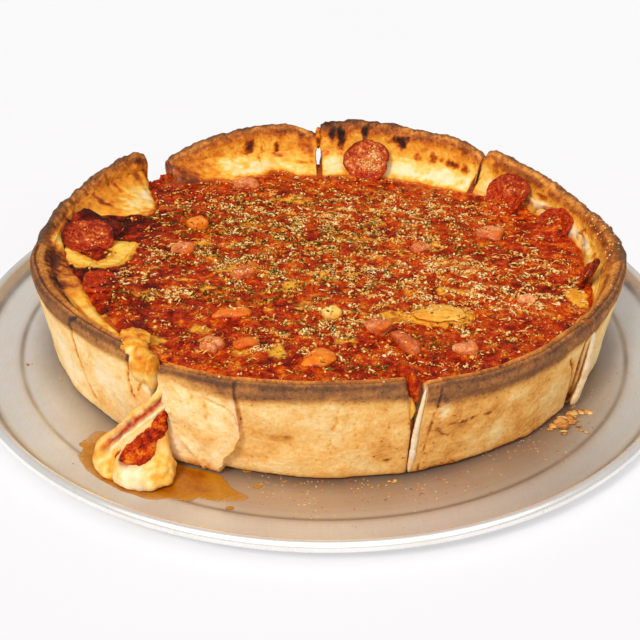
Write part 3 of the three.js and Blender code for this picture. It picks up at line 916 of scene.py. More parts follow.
    def finish(self, **places: Input) -> bpy.types.Material:
        """Adds the shader and the output.

        Args:
            **places: Values or links of the shader's sockets, with underscores for spaces.

        Returns:
            The finished material.
        """
        named = {key.replace("_", " "): value for key, value in places.items()}
        shader = self.node("ShaderNodeBsdfPrincipled", {}, named)
        self.node("ShaderNodeOutputMaterial", {}, {"Surface": shader.outputs[0]})
        return self.material


def linear(colour: Colour) -> tuple[float, float, float, float]:
    """Scene colour of an sRGB triple from 0 to 255."""
    parts = [part / 255.0 for part in colour]
    return (*(part / 12.92 if part <= 0.04045 else ((part + 0.055) / 1.055) ** 2.4 for part in parts), 1.0)


@dataclass(frozen=True)
class Finish:
    """Finish of a piece. Each kind builds its material once."""

    slot: Slot

    def material(self) -> bpy.types.Material:
        """Material of this finish, built at its first use."""
        name = type(self).__name__.lower()
        return bpy.data.materials.get(name) or self.build(Graph(name))

    def build(self, graph: Graph) -> bpy.types.Material:
        """Builds the nodes.

        Args:
            graph: Empty nodes of the material.

        Returns:
            The material.
        """
        raise NotImplementedError


@dataclass(frozen=True)
class BakedDough(Finish):
    """Crust: dough from pale to char, ash on the moulded band, grease inside and raw cut faces."""

    slot: Slot = Slot.CRUST
    dough: tuple = (
        (0.00, (253, 234, 196)),
        (0.18, (251, 216, 150)),
        (0.36, (243, 184, 100)),
        (0.52, (220, 146, 66)),
        (0.66, (164, 98, 44)),
        (0.80, (98, 58, 32)),
        (1.00, (40, 25, 17)),
    )
    ash: Colour = (126, 98, 78)
    soot: Colour = (88, 62, 44)
    raw: Colour = (252, 240, 214)
    freckle_size: float = 1.7
    blotch_size: float = 9.0

    def build(self, graph: Graph) -> bpy.types.Material:
        """Builds the nodes from the painted bake, grease, ash, raw and grated."""
        freckles = graph.noise(self.freckle_size, 2.0, 0.6)
        blotches = graph.noise(self.blotch_size, 4.0, 0.6)
        fine = graph.noise(0.7, 2.0, 0.6)
        bake = graph.paint("bake") + (blotches - 0.5) * 0.34 + (freckles - 0.5) * 0.3 + (fine - 0.5) * 0.12
        bake = bake + freckles.step(0.63, 0.74) * 0.16
        dough = graph.colours(bake, self.dough)
        grease = graph.colours(bake, GOLDEN)
        colour = graph.mix(graph.paint("grease"), dough, grease)
        ash = graph.paint("ash") * blotches.step(0.2, 0.6, 0.7, 1.0)
        colour = graph.mix(ash, colour, graph.mix((fine - 0.5) * 1.6 + 0.35, self.ash, self.soot))
        colour = graph.mix(graph.paint("raw") * fine.step(0.25, 0.6, 0.75, 1.0), colour, self.raw)
        colour, grated = graph.sprinkled(colour, "grated", 1.5, GRATED)
        relief = (freckles * 0.5 + fine * 0.3) + graph.cells(2.4) * 0.25 + grated * 0.5
        normal = graph.bump(relief, 0.5)
        rough = 0.86 - graph.paint("grease") * 0.42 + (freckles - 0.5) * 0.2
        return graph.finish(Base_Color=colour, Roughness=rough, Normal=normal, Specular_IOR_Level=0.16)


@dataclass(frozen=True)
class MeltedCheese(Finish):
    """Melted cheese: cream where it is thick, gold and orange where it fried, brown on the blisters."""

    slot: Slot = Slot.CHEESE
    oil_size: float = 3.0

    def build(self, graph: Graph) -> bpy.types.Material:
        """Builds the nodes from the painted bake, soak and grated."""
        patches = graph.noise(self.oil_size, 4.0, 0.6)
        fine = graph.noise(0.8, 2.0, 0.6)
        bake = graph.paint("bake") + (patches - 0.5) * 0.42 + (fine - 0.5) * 0.14
        colour = graph.sauced(graph.colours(bake, GOLDEN), graph.paint("soak"), patches, fine)
        colour, grated = graph.sprinkled(colour, "grated", 1.25, GRATED)
        relief = patches * 0.6 + fine * 0.35 + grated * 0.4
        normal = graph.bump(relief, 0.45)
        rough = patches.step(0.3, 0.7, 0.22, 0.48)
        return graph.finish(
            Base_Color=colour,
            Roughness=rough,
            Normal=normal,
            Subsurface_Weight=0.12,
            Subsurface_Radius=(1.0, 0.6, 0.3),
            Subsurface_Scale=0.0015,
            Specular_IOR_Level=0.22,
        )


@dataclass(frozen=True)
class TomatoSauce(Finish):
    """Crushed tomato: wet and coarse, with oil and melted cheese that colour it orange and burnt places."""

    slot: Slot = Slot.SAUCE
    melt: Colour = (255, 198, 66)
    curd: Colour = (240, 140, 18)
    cream: Colour = (255, 202, 86)
    fried: Colour = (240, 146, 34)
    burn: Colour = (40, 11, 6)

    def build(self, graph: Graph) -> bpy.types.Material:
        """Builds the nodes from the painted melt, burn, tone, grated and herb."""
        pulp = graph.noise(3.4, 4.0, 0.66)
        oil = graph.noise(11.0, 3.0, 0.6)
        fine = graph.noise(0.9, 3.0, 0.6)
        tone = graph.paint("tone") + (pulp - 0.5) * 1.4 + (fine - 0.5) * 0.8 + (oil - 0.5) * 0.8
        colour = graph.colours(tone, SAUCE_TONES)
        melted = graph.mix(fine.step(0.3, 0.7, 0.0, 0.8), self.melt, self.curd)
        share = graph.paint("melt") + (pulp - 0.5) * 0.6
        thick = share.step(0.8, 1.0)
        molten = graph.mix(share.step(0.9, 1.5), self.fried, self.cream)
        melted = graph.mix(thick, melted, molten)
        colour = graph.mix(share.step(0.3, 0.8), colour, melted)
        scorched = graph.paint("burn") + (fine - 0.5) * 0.5 + (pulp - 0.5) * 0.4
        colour = graph.mix(scorched.step(0.25, 0.95, 0.0, 0.9), colour, self.burn)
        colour, leaf = graph.sprinkled(colour, "herb", 1.5, HERB)
        colour, grated = graph.sprinkled(colour, "grated", 1.25, GRATED)
        relief = pulp * 0.9 + fine * 0.5 + grated * 0.4 + leaf * 0.2
        normal = graph.bump(relief, 1.5)
        rough = fine.step(0.3, 0.7, 0.08, 0.3) + grated * 0.2
        return graph.finish(Base_Color=colour, Roughness=rough, Normal=normal, Specular_IOR_Level=0.12)


@dataclass(frozen=True)
class DryGrain(Finish):
    """Small dry grains, each with its own tone.

    Attributes:
        tones: Colours from 0 to 1 along the painted tone.
        grain: Width of the fine noise in millimetres.
        mottle: How far the noise shifts the tone.
        relief: Depth of the noise in millimetres.
        rough: Least and greatest roughness.
        shine: Strength of the highlights.
    """

    slot: Slot = Slot.CHEESE
    tones: tuple = GRATED
    grain: float = 0.6
    mottle: float = 0.3
    relief: float = 0.2
    rough: tuple[float, float] = (0.4, 0.7)
    shine: float = 0.12

    def build(self, graph: Graph) -> bpy.types.Material:
        """Builds the nodes from the painted tone."""
        fine = graph.noise(self.grain, 2.0, 0.6)
        colour = graph.colours(graph.paint("tone") + (fine - 0.5) * self.mottle, self.tones)
        normal = graph.bump(fine, self.relief)
        rough = fine.step(0.3, 0.7, *self.rough)
        return graph.finish(
            Base_Color=colour, Roughness=rough, Normal=normal, Specular_IOR_Level=self.shine
        )


@dataclass(frozen=True)
class GratedCheese(DryGrain):
    """Grated hard cheese: white where it lies dry, tan where it soaked up oil."""


@dataclass(frozen=True)
class DriedHerb(DryGrain):
    """Dried herb: olive and dark green, brown where it toasted."""

    slot: Slot = Slot.SAUCE
    tones: tuple = HERB
    grain: float = 0.5
    mottle: float = 0.4
    relief: float = 0.15
    rough: tuple[float, float] = (0.45, 0.75)
    shine: float = 0.04


@dataclass(frozen=True)
class CookedHam(Finish):
    """Diced ham: pink meat with pale fat, orange where oil soaked in and red low in the sauce."""

    slot: Slot = Slot.HAM
    meat: tuple = (
        (0.0, (168, 58, 20)),
        (0.3, (204, 90, 42)),
        (0.55, (222, 126, 74)),
        (0.8, (238, 164, 106)),
        (1.0, (248, 204, 150)),
    )
    edge: Colour = (222, 106, 22)

    def build(self, graph: Graph) -> bpy.types.Material:
        """Builds the nodes from the painted tone, edge, soak and grated."""
        grain = graph.noise(2.6, 4.0, 0.65)
        fine = graph.noise(0.8, 2.0, 0.6)
        tone = graph.paint("tone") + (grain - 0.5) * 1.5 + (fine - 0.5) * 0.6
        colour = graph.colours(tone, self.meat)
        colour = graph.mix((graph.paint("edge") + (grain - 0.5) * 1.2).step(0.2, 0.8), colour, self.edge)
        colour = graph.sauced(colour, graph.paint("soak"), grain, fine)
        colour, grated = graph.sprinkled(colour, "grated", 1.3, GRATED)
        normal = graph.bump(grain * 0.8 + fine * 0.4 + grated * 0.4, 0.9)
        rough = fine.step(0.3, 0.7, 0.16, 0.42)
        return graph.finish(Base_Color=colour, Roughness=rough, Normal=normal, Specular_IOR_Level=0.16)


@dataclass(frozen=True)
class RoastedPepper(Finish):
    """Diced pepper roasted in oil: orange, glossy, with darker skin."""

    slot: Slot = Slot.PEPPER
    flesh: tuple = (
        (0.0, (176, 60, 6)),
        (0.35, (222, 100, 12)),
        (0.65, (238, 138, 28)),
        (1.0, (250, 190, 84)),
    )

    def build(self, graph: Graph) -> bpy.types.Material:
        """Builds the nodes from the painted tone, soak and grated."""
        grain = graph.noise(3.0, 3.0, 0.6)
        fine = graph.noise(0.8, 2.0, 0.6)
        colour = graph.colours(graph.paint("tone") + (grain - 0.5) * 0.7 + (fine - 0.5) * 0.3, self.flesh)
        colour = graph.sauced(colour, graph.paint("soak"), grain, fine)
        colour, grated = graph.sprinkled(colour, "grated", 1.3, GRATED)
        normal = graph.bump(grain * 0.6 + fine * 0.3 + grated * 0.4, 0.4)
        rough = fine.step(0.3, 0.7, 0.18, 0.4)
        return graph.finish(Base_Color=colour, Roughness=rough, Normal=normal, Specular_IOR_Level=0.3)


@dataclass(frozen=True)
class FriedPepperoni(Finish):
    """Pepperoni: oily orange red with grains of fat, dark at the fried edge, and sauce where it sank in."""

    slot: Slot = Slot.PEPPERONI
    meat: tuple = (
        (0.0, (92, 16, 2)),
        (0.3, (146, 32, 2)),
        (0.55, (184, 62, 8)),
        (0.8, (220, 118, 50)),
        (1.0, (242, 182, 122)),
    )
    char: Colour = (70, 20, 4)

    def build(self, graph: Graph) -> bpy.types.Material:
        """Builds the nodes from the painted edge, tone, soak and grated."""
        grain = graph.noise(2.2, 4.0, 0.7)
        fine = graph.noise(0.7, 2.0, 0.6)
        fat = graph.cells(3.4).step(0.4, 0.14)
        tone = graph.paint("tone") + (grain - 0.5) * 1.8 + fat * 0.3 + (fine - 0.5) * 0.7
        colour = graph.colours(tone, self.meat)
        fried = (graph.paint("edge") + (grain - 0.5) * 0.5).step(0.4, 1.0, 0.0, 0.85)
        colour = graph.mix(fried, colour, self.char)
        sunk = (graph.paint("soak") + (grain - 0.5) * 0.5).step(0.3, 0.8)
        colour = graph.sauced(colour, sunk, grain, fine)
        colour, grated = graph.sprinkled(colour, "grated", 1.3, GRATED)
        normal = graph.bump(grain * 0.8 + fine * 0.4 + fat * 0.3 + grated * 0.4, 1.0)
        rough = fine.step(0.3, 0.7, 0.12, 0.34)
        return graph.finish(Base_Color=colour, Roughness=rough, Normal=normal, Specular_IOR_Level=0.18)


@dataclass(frozen=True)
class SpunAluminium(Finish):
    """Worn spun aluminium: faint rings from the lathe, fine scratches, a warm film of oil, and painted
    shade.
    """

    slot: Slot = Slot.PAN
    metal: Colour = (250, 249, 247)
    worn: Colour = (228, 217, 204)
    greasy: Colour = (188, 154, 118)
    # Colour of the painted shade in the crease and beside the bead.
    groove: Colour = (96, 84, 74)
    dirt: Colour = (120, 84, 56)
    # Colour of the painted shade and shadow on the pan.
    shaded: Colour = (92, 80, 70)

    def build(self, graph: Graph) -> bpy.types.Material:
        """Builds the nodes from the painted ring, film, dirt, dull, groove, shade and dust."""
        dull = graph.paint("dull")
        cloud = graph.noise(38.0, 4.0, 0.6)
        scratch = graph.noise(1.2, 4.0, 0.7, (1.0, 0.16, 1.0))
        cross = graph.noise(1.1, 4.0, 0.7, (0.14, 1.0, 1.0))
        # The lathe's rings follow the painted ring, which is the distance from the middle.
        ring_place = graph.node("ShaderNodeCombineXYZ", {}, {"X": graph.paint("ring")})
        places = {"Vector": ring_place.outputs[0], "Scale": 1.1, "Detail": 3.0}
        rings = Value(graph, graph.node("ShaderNodeTexNoise", {}, places).outputs[0])
        wear = cloud * 0.7 + scratch * 0.3 + graph.paint("film")
        colour = graph.mix(wear.step(0.3, 0.9), self.metal, self.worn)
        colour = graph.mix(graph.paint("film") * cloud.step(0.3, 0.6, 0.6, 1.0), colour, self.greasy)
        dirt = graph.noise(2.0, 2.0, 0.5).step(0.7, 0.78) * graph.paint("dirt")
        colour = graph.mix(dirt, colour, self.dirt)
        colour = graph.mix((rings - 0.5) * 1.6 * dull, colour, self.worn)
        # Painted shade in the crease and beside the bead.
        colour = graph.mix(graph.paint("groove"), colour, self.groove)
        # Painted shadow round the pizza's foot and painted shade by angle round the pan.
        colour = graph.mix(graph.paint("shade"), colour, self.shaded)
        colour, dust = graph.sprinkled(colour, "dust", 0.9, GRATED)
        relief = (rings * 0.5 + scratch * 0.3 + cross * 0.3) * dull
        normal = graph.bump(relief, 0.08)
        rough = cloud.step(0.3, 0.7, 0.4, 0.52) + (scratch - 0.5) * 0.12 * dull
        rough = rough - (1.0 - dull) * 0.2 + dust * 0.2
        return graph.finish(Base_Color=colour, Metallic=0.6, Roughness=rough, Normal=normal)


@dataclass(frozen=True)
class OrangeOil(Finish):
    """Pool of orange oil: thin, clear at its edge and glossy."""

    slot: Slot = Slot.SAUCE
    thin: Colour = (212, 140, 22)
    thick: Colour = (150, 74, 0)

    def build(self, graph: Graph) -> bpy.types.Material:
        """Builds the nodes from the painted depth."""
        curd = graph.noise(2.4, 4.0, 0.65)
        pool = graph.noise(12.0, 3.0, 0.6)
        depth = graph.paint("depth") + (curd - 0.5) * 0.9 + (pool - 0.5) * 1.3
        colour = graph.mix(depth.step(0.0, 1.0), self.thin, self.thick)
        normal = graph.bump(curd, 0.3)
        clear = depth.step(-0.3, 0.8, 0.34, 0.94)
        return graph.finish(
            Base_Color=colour,
            Roughness=0.07,
            Normal=normal,
            Alpha=clear,
            Coat_Weight=0.6,
            Coat_Roughness=0.05,
        )


@dataclass(frozen=True)
class StudioFloor(Finish):
    """Plain pale floor with a faint grain."""

    slot: Slot = Slot.PAN
    tone: Colour = (186, 186, 188)
    cloud: Colour = (182, 182, 185)
    glow: Colour = (250, 250, 252)
    glow_strength: float = 0.43

    def build(self, graph: Graph) -> bpy.types.Material:
        """Builds the nodes."""
        colour = graph.mix(graph.noise(400.0, 2.0, 0.5), self.tone, self.cloud)
        return graph.finish(
            Base_Color=colour,
            Roughness=0.9,
            Specular_IOR_Level=0.0,
            Emission_Color=linear(self.glow),
            Emission_Strength=self.glow_strength,
        )


# ------------------------------------------------------------------ pan


@dataclass
class ServingPan:
    """Spun tray with a flat base, a crease ring, a low flange and a rolled bead."""

    radius: float = 184.4
    sheet: float = 1.6
    crease_radius: float = 158.9
    crease_step: float = 0.9
    flange_rise: float = 2.2
    bead_radius: float = 2.6
    bead_height: float = 9.4
    sides: int = 320
    # Share of painted shade on the metal round the pan, by angle, most at the front.
    painted_shade_by_angle: tuple = (
        (-180, 0.0), (-140, 0.1), (-122, 0.27), (-100, 0.22), (-75, 0.2), (-52, 0.4), (-34, 0.25),
        (0, 0.06), (90, 0.0),
    )

    def profile(self) -> np.ndarray:
        """Section from the middle of the underside round the bead to the middle of the upper face.

        Returns:
            Array of radius and height.
        """
        bead_centre = self.radius - self.bead_radius
        flange = bead_centre - 9
        lower = [
            (4, 0),
            (60, 0),
            (120, 0),
            (self.crease_radius - 3, 0),
            (self.crease_radius - 1, 0.15),
            (self.crease_radius + 0.8, self.crease_step),
            (self.crease_radius + 8, self.crease_step + 0.6),
            (flange, self.flange_rise),
            (bead_centre - 4, self.flange_rise + 1.7),
        ]
        bead = [
            (
                bead_centre + self.bead_radius * math.cos(math.radians(angle)),
                self.bead_height + self.bead_radius * math.sin(math.radians(angle)),
            )
            for angle in range(-110, 175, 20)
        ]
        upper = [
            (bead_centre - 4.6, self.flange_rise + 3.7),
            (flange, self.flange_rise + self.sheet),
            (self.crease_radius + 8, self.crease_step + 0.6 + self.sheet),
            (self.crease_radius + 1.2, self.crease_step + self.sheet + 0.1),
            (self.crease_radius - 0.6, self.crease_step * 0.35 + self.sheet),
            (self.crease_radius - 2.2, self.sheet - 0.12),
            (self.crease_radius - 4.5, self.sheet),
            (150, self.sheet),
            (120, self.sheet),
            (60, self.sheet),
            (4, self.sheet),
        ]
        keys = np.array([*lower, *bead, *upper], float)
        return smooth_path(keys, [3] * (len(keys) - 1))

    def build(self, finish: Finish, noise: Noise) -> None:
        """Builds the pan.

        Args:
            finish: Finish of the metal.
            noise: Noise for its unevenness.
        """
        profile = self.profile()
        turn = np.arange(self.sides) * 360.0 / self.sides
        points = polar(turn[:, None], profile[None, :, 0], profile[None, :, 1]) - PIZZA_CENTRE
        sag = noise.wave(points, (60, 60, 1e6)) * 0.12 * ramp(100, 160, profile[None, :, 0])
        points[..., 2] += sag
        front = ramp(80, 20, np.abs(turn_from(turn, -70)))[:, None]
        film = (0.12 + 0.6 * front) * ramp(166, 146, profile[None, :, 0])
        dirt = ramp(0.1, 0.5, noise.wave(points, 45.0)) * ramp(110, 140, profile[None, :, 0])
        radius = profile[None, :, 0]
        above = profile[None, :, 1] > self.sheet * 0.5
        # Painted shade by angle round the pan, on the base and the inner flange.
        side_shade = round_table(turn, self.painted_shade_by_angle)[:, None] * ramp(182.0, 170.0, radius)
        # Painted shade: a dark ring in the crease and a dark line beside the bead, a little uneven.
        groove = 0.6 * np.exp(-(((radius - self.crease_radius + 0.6) / 1.3) ** 2)) * above
        groove = groove + 0.9 * np.exp(-(((radius - self.radius + 8.0) / 1.6) ** 2)) * above
        from_foot = np.hypot(points[..., 0], points[..., 1]) - FOOT_RADIUS
        dust = 0.3 * front * ramp(32.0, 4.0, from_foot) * ramp(-0.3, 0.4, noise.wave(points, 16.0)) * above
        paint = {
            "ring": radius,
            "film": film,
            "dirt": dirt,
            "groove": groove * (0.75 + 0.5 * noise.rough(points, 30.0, 3)),
            "dull": ramp(self.radius - 6.0, self.radius - 9.0, radius),
            # Painted shadow within 18 mm of the pizza's foot, joined with the painted shade by angle.
            "shade": np.maximum(0.62 * ramp(18.0, 0.0, from_foot), side_shade) * above,
            "dust": dust,
        }
        surface = Surface.grid(points, paint, close_columns=True)
        rows = len(profile)
        for row, height in ((0, profile[0, 1]), (rows - 1, profile[-1, 1])):
            ring = np.arange(self.sides) * rows + row
            surface.close(ring, np.array([0.0, 0.0, height]) - PIZZA_CENTRE, {})
        surface.object("pan_body", finish, ["pan"])


# ------------------------------------------------------------------ crust


@dataclass(frozen=True)
class Flap:
    """First piece of slice 6: it stands proud of the wall and ends at a tear that slants at its foot."""

    start: float = 240.0
    tear: float = 254.4
    proud: float = 5.6
    slant: float = 4.4
    slant_top: float = 28.0

    def lean(self, angle: np.ndarray, height: np.ndarray, jag: np.ndarray) -> np.ndarray:
        """How far a column near the tear leans back at a height.

        Args:
            angle: Angles of the columns in degrees.
            height: Heights of the points.
            jag: Noise that makes the tear ragged.

        Returns:
            Degrees towards the flap.
        """
        near = np.exp(-(((angle - self.tear) / 6.0) ** 2))
        low = ramp(self.slant_top, FOOT_HEIGHT, height)
        close = np.exp(-(((angle - self.tear) / 1.6) ** 2))
        return self.slant * near * low + close * jag * (0.12 + 0.75 * low)

    def relief(self, angle: np.ndarray, level: np.ndarray) -> np.ndarray:
        """How far the flap stands out at a level from 0 at the foot to 1 at the rim."""
        on = ramp(self.tear + 0.12, self.tear - 0.12, angle) * (angle >= self.start - 1e-6)
        return self.proud * (1 - 0.9 * level) * on


@dataclass(frozen=True)
class SliceShape:
    """One slice of the crust.

    Attributes:
        number: Number of the slice, anticlockwise from the right.
        start: First cut angle in degrees.
        end: Second cut angle.
        gaps: Width of the gap beside each cut, as pairs of height and width.
        crest: Heights of the crest at even steps between the cuts.
        mould: How deep the baking pan's edge is pressed into the lip.
        raw: How pale and raw the dough is at each cut; a low value paints its face dark with the slit's
            shade.
    """

    number: int
    start: float
    end: float
    gaps: tuple[tuple[tuple[float, float], ...], ...]
    crest: tuple[float, ...]
    mould: float
    raw: tuple[float, float]

    @property
    def moulded(self) -> float:
        """How far the baking pan shapes the lip, from 0 where it rose free to 1."""
        return min(self.mould * 1.4, 1.0)


# Width of the gap on each side of a knife's cut, by height, where both sides share it.
HAIRLINE = ((30, 0.8),)
RIGHT_SLIT = ((30, 0.5), (34, 1.0), (44, 1.2), (50, 1.7), (54.5, 2.4))
BACK_SLIT = ((30, 0.9), (34, 1.9), (39, 1.9), (42, 0.9), (54.5, 1.6))
LEFT_SLIT = ((30, 0.8), (54.5, 1.2))
FLAP_SLIT = ((30, 3.2), (54.5, 2.6))
FRONT_SLIT = ((6, 2.8), (30, 2.4), (44, 1.2), (54.5, 1.2))

SLICES = (
    SliceShape(
        1, -13, 48.5, (HAIRLINE, RIGHT_SLIT),
        (53, 53.8, 52, 50, 49.5, 51, 52.5, 54.8), 0.15, (0.2, 0.05),
    ),
    SliceShape(
        2, 48.5, 92.5, (RIGHT_SLIT, BACK_SLIT),
        (49.8, 55.2, 56, 56.4, 57.6, 58.6, 58, 56.5), 0.0, (0.1, 0.1),
    ),
    SliceShape(
        3, 92.5, 137, (BACK_SLIT, ((26, 1.6), (37, 11.5), (54.5, 11.5))),
        (50, 56, 57, 56.4, 54.8, 53, 50.4, 47.5), 0.0, (0.1, 0.0),
    ),
    SliceShape(
        4, 137, 188, (((26, 1.6), (36, 12.5), (41, 10.5), (50, 6.8), (58, 6.0)), LEFT_SLIT),
        (57, 57.8, 56.2, 54.8, 54.2, 54.4, 54.6, 53), 0.0, (0.0, 0.5),
    ),
    SliceShape(
        5, 188, 240, (LEFT_SLIT, FLAP_SLIT),
        (55, 57.5, 58, 57.5, 56, 56.5, 56.5, 56), 0.7, (0.4, 0.7),
    ),
    SliceShape(
        6, 240, 283, (FLAP_SLIT, ((28, -0.6), (42, 1.2), (54.5, 3.1))),
        (52.5, 53.2, 53.8, 54.4, 55, 55.3, 55.5, 55.7), 1.0, (0.8, 0.6),
    ),
    SliceShape(
        7, 283, 322, (((6, 2.1), (20, 3.2), (36, 5.2), (54.5, 7)), FRONT_SLIT),
        (52, 51.8, 51.2, 51.2, 51.5, 51.6, 52, 52.6), 0.9, (0.8, 0.3),
    ),
    SliceShape(
        8, 322, 347, (FRONT_SLIT, HAIRLINE),
        (52.8, 52.6, 52.2, 52, 52.2, 52.6, 53, 53.2), 0.6, (0.1, 0.3),
    ),
)


@dataclass
class InnerTones:
    """Browning of the crust's inside, of dough and of the cheese that lines it alike.

    Spots are placed by angle and by level, which is 0 at the sauce and 1 at the crest.
    """

    noise: Noise
    rise: tuple = (
        (0.0, 0.54), (0.06, 0.42), (0.15, 0.33), (0.35, 0.31), (0.5, 0.36), (0.68, 0.41), (0.84, 0.48),
        (1.0, 0.7),
    )
    round: tuple = (
        (-180, 0.16), (-168, 0.2), (-150, 0.16), (-130, 0.12), (-60, 0.04), (-13, 0.0), (0, -0.06),
        (20, -0.06), (45, -0.04), (60, -0.03), (75, -0.02), (90, 0.0), (100, 0.02), (112, 0.03),
        (120, 0.08), (126, 0.2), (132, 0.3), (137, 0.3), (140, 0.2), (144, 0.13), (150, 0.1), (160, 0.12),
        (168, 0.14),
    )
    spots: tuple = spots_at(
        (151, 0.24, 18, 0.24, -0.26), (145, 0.14, 9, 0.14, -0.14), (116.5, 0.3, 12, 0.26, -0.24),
        (110, 0.18, 13, 0.16, -0.24), (98, 0.12, 9, 0.12, -0.18), (89, 0.2, 7, 0.25, -0.26),
        (70, 0.25, 22, 0.22, -0.22), (57, 0.25, 15, 0.22, -0.24), (50, 0.3, 5, 0.2, -0.18),
        (44, 0.25, 5, 0.3, -0.14), (28, 0.45, 9, 0.2, -0.28), (12, 0.38, 10, 0.25, -0.3),
        (4, 0.32, 10, 0.24, -0.32), (-5, 0.26, 6, 0.2, -0.24), (130, 0.2, 7, 0.3, 0.2),
        (112.3, 0.72, 4, 0.15, 0.42), (104.5, 0.6, 1.6, 0.22, 0.36), (108.8, 0.42, 0.8, 0.25, 0.3),
        (103, 0.42, 6, 0.06, 0.24), (97, 0.36, 8, 0.06, 0.28), (95.5, 0.7, 6, 0.25, 0.24),
        (89.4, 0.85, 3, 0.15, 0.34), (86.8, 0.78, 3.0, 0.28, 0.46), (91, 0.5, 4, 0.1, 0.22),
        (80.6, 0.85, 2.4, 0.2, 0.42), (71.3, 0.84, 6.0, 0.1, 0.5), (66, 0.6, 4, 0.09, 0.3),
        (61.7, 0.6, 3.4, 0.14, 0.34), (56.4, 0.62, 7, 0.1, 0.42), (52.0, 0.6, 3.4, 0.12, 0.36),
        (44.5, 0.75, 5, 0.2, 0.14), (27.6, 0.7, 5, 0.12, 0.38), (22, 0.6, 3, 0.1, 0.22),
        (8, 0.66, 4, 0.12, 0.34), (0, 0.56, 6, 0.08, 0.26), (-4, 0.44, 5, 0.12, 0.3),
        (152, 0.56, 1.5, 0.28, 0.2), (160, 0.6, 2, 0.3, 0.24), (144, 0.52, 2.5, 0.3, 0.22),
        (139.3, 0.6, 3.5, 0.6, 0.12), (174, 0.2, 14, 0.5, 0.42), (184, 0.5, 7, 0.6, -0.2),
        (193, 0.6, 16, 0.6, 0.34), (208, 0.8, 22, 0.3, 0.26), (204, 0.5, 5, 0.4, 0.26),
        (214, 0.2, 20, 0.3, -0.16),
    )

    def bake(
        self,
        angle: np.ndarray,
        radius: np.ndarray,
        height: np.ndarray,
        crest: np.ndarray,
        points: np.ndarray,
    ) -> np.ndarray:
        """Browning at points of the inside.

        Args:
            angle: Angles in degrees.
            radius: Distances from the axis.
            height: Heights above the table.
            crest: Height of the crest over each point.
            points: The points.

        Returns:
            Browning from 0 to 1.
        """
        edge = sauce_edge(angle)
        turn = np.radians(angle)
        level = fill_level(edge * np.cos(turn), edge * np.sin(turn))
        whole = inner_radius(level) - edge + crest - level
        part = (np.clip(radius - edge, 0.0, None) * 0.8 + np.clip(height - level, 0.0, None)) / whole
        rag = self.noise.rough(points, 4.0, 3)
        frayed = 0.5 * rag + 0.7 * self.noise.rough(points, (3.2, 3.2, 5.0), 2)
        cloud = self.noise.rough(points, 12.0, 3)
        upper = 1.0 - 0.8 * ramp(0.5, 0.9, part)
        bake = table_at(part, self.rise) + round_table(angle, self.round) * upper
        bake = bake + 0.14 * cloud + 0.11 * rag
        for spot in self.spots:
            along = turn_from(angle, spot.across) * ARC / spot.half_across
            reach = np.hypot(along, (part - spot.up) / spot.half_up)
            bake = bake + spot.strength * ramp(1.4, 0.3, reach + frayed)
        return np.clip(bake, 0.02, 1.0)


@dataclass
class Skin:
    """Grid of a slice's crust.

    Attributes:
        shape: The slice.
        angle: Angle of each column.
        section: Radius and height at each column and row.
        crest: Crest height of each column.
        points: Points in place.
    """

    shape: SliceShape
    angle: np.ndarray
    section: np.ndarray
    crest: np.ndarray
    points: np.ndarray

    @property
    def turn(self) -> np.ndarray:
        """Angles of the columns from -180 to 180."""
        return turn_from(self.angle, 0.0)[:, None]

    @property
    def radius(self) -> np.ndarray:
        """Distances from the axis."""
        return self.section[..., 0]

    @property
    def height(self) -> np.ndarray:
        """Heights above the table."""
        return self.section[..., 1]

    @property
    def below(self) -> np.ndarray:
        """Depths below the crest."""
        return self.crest[:, None] - self.height


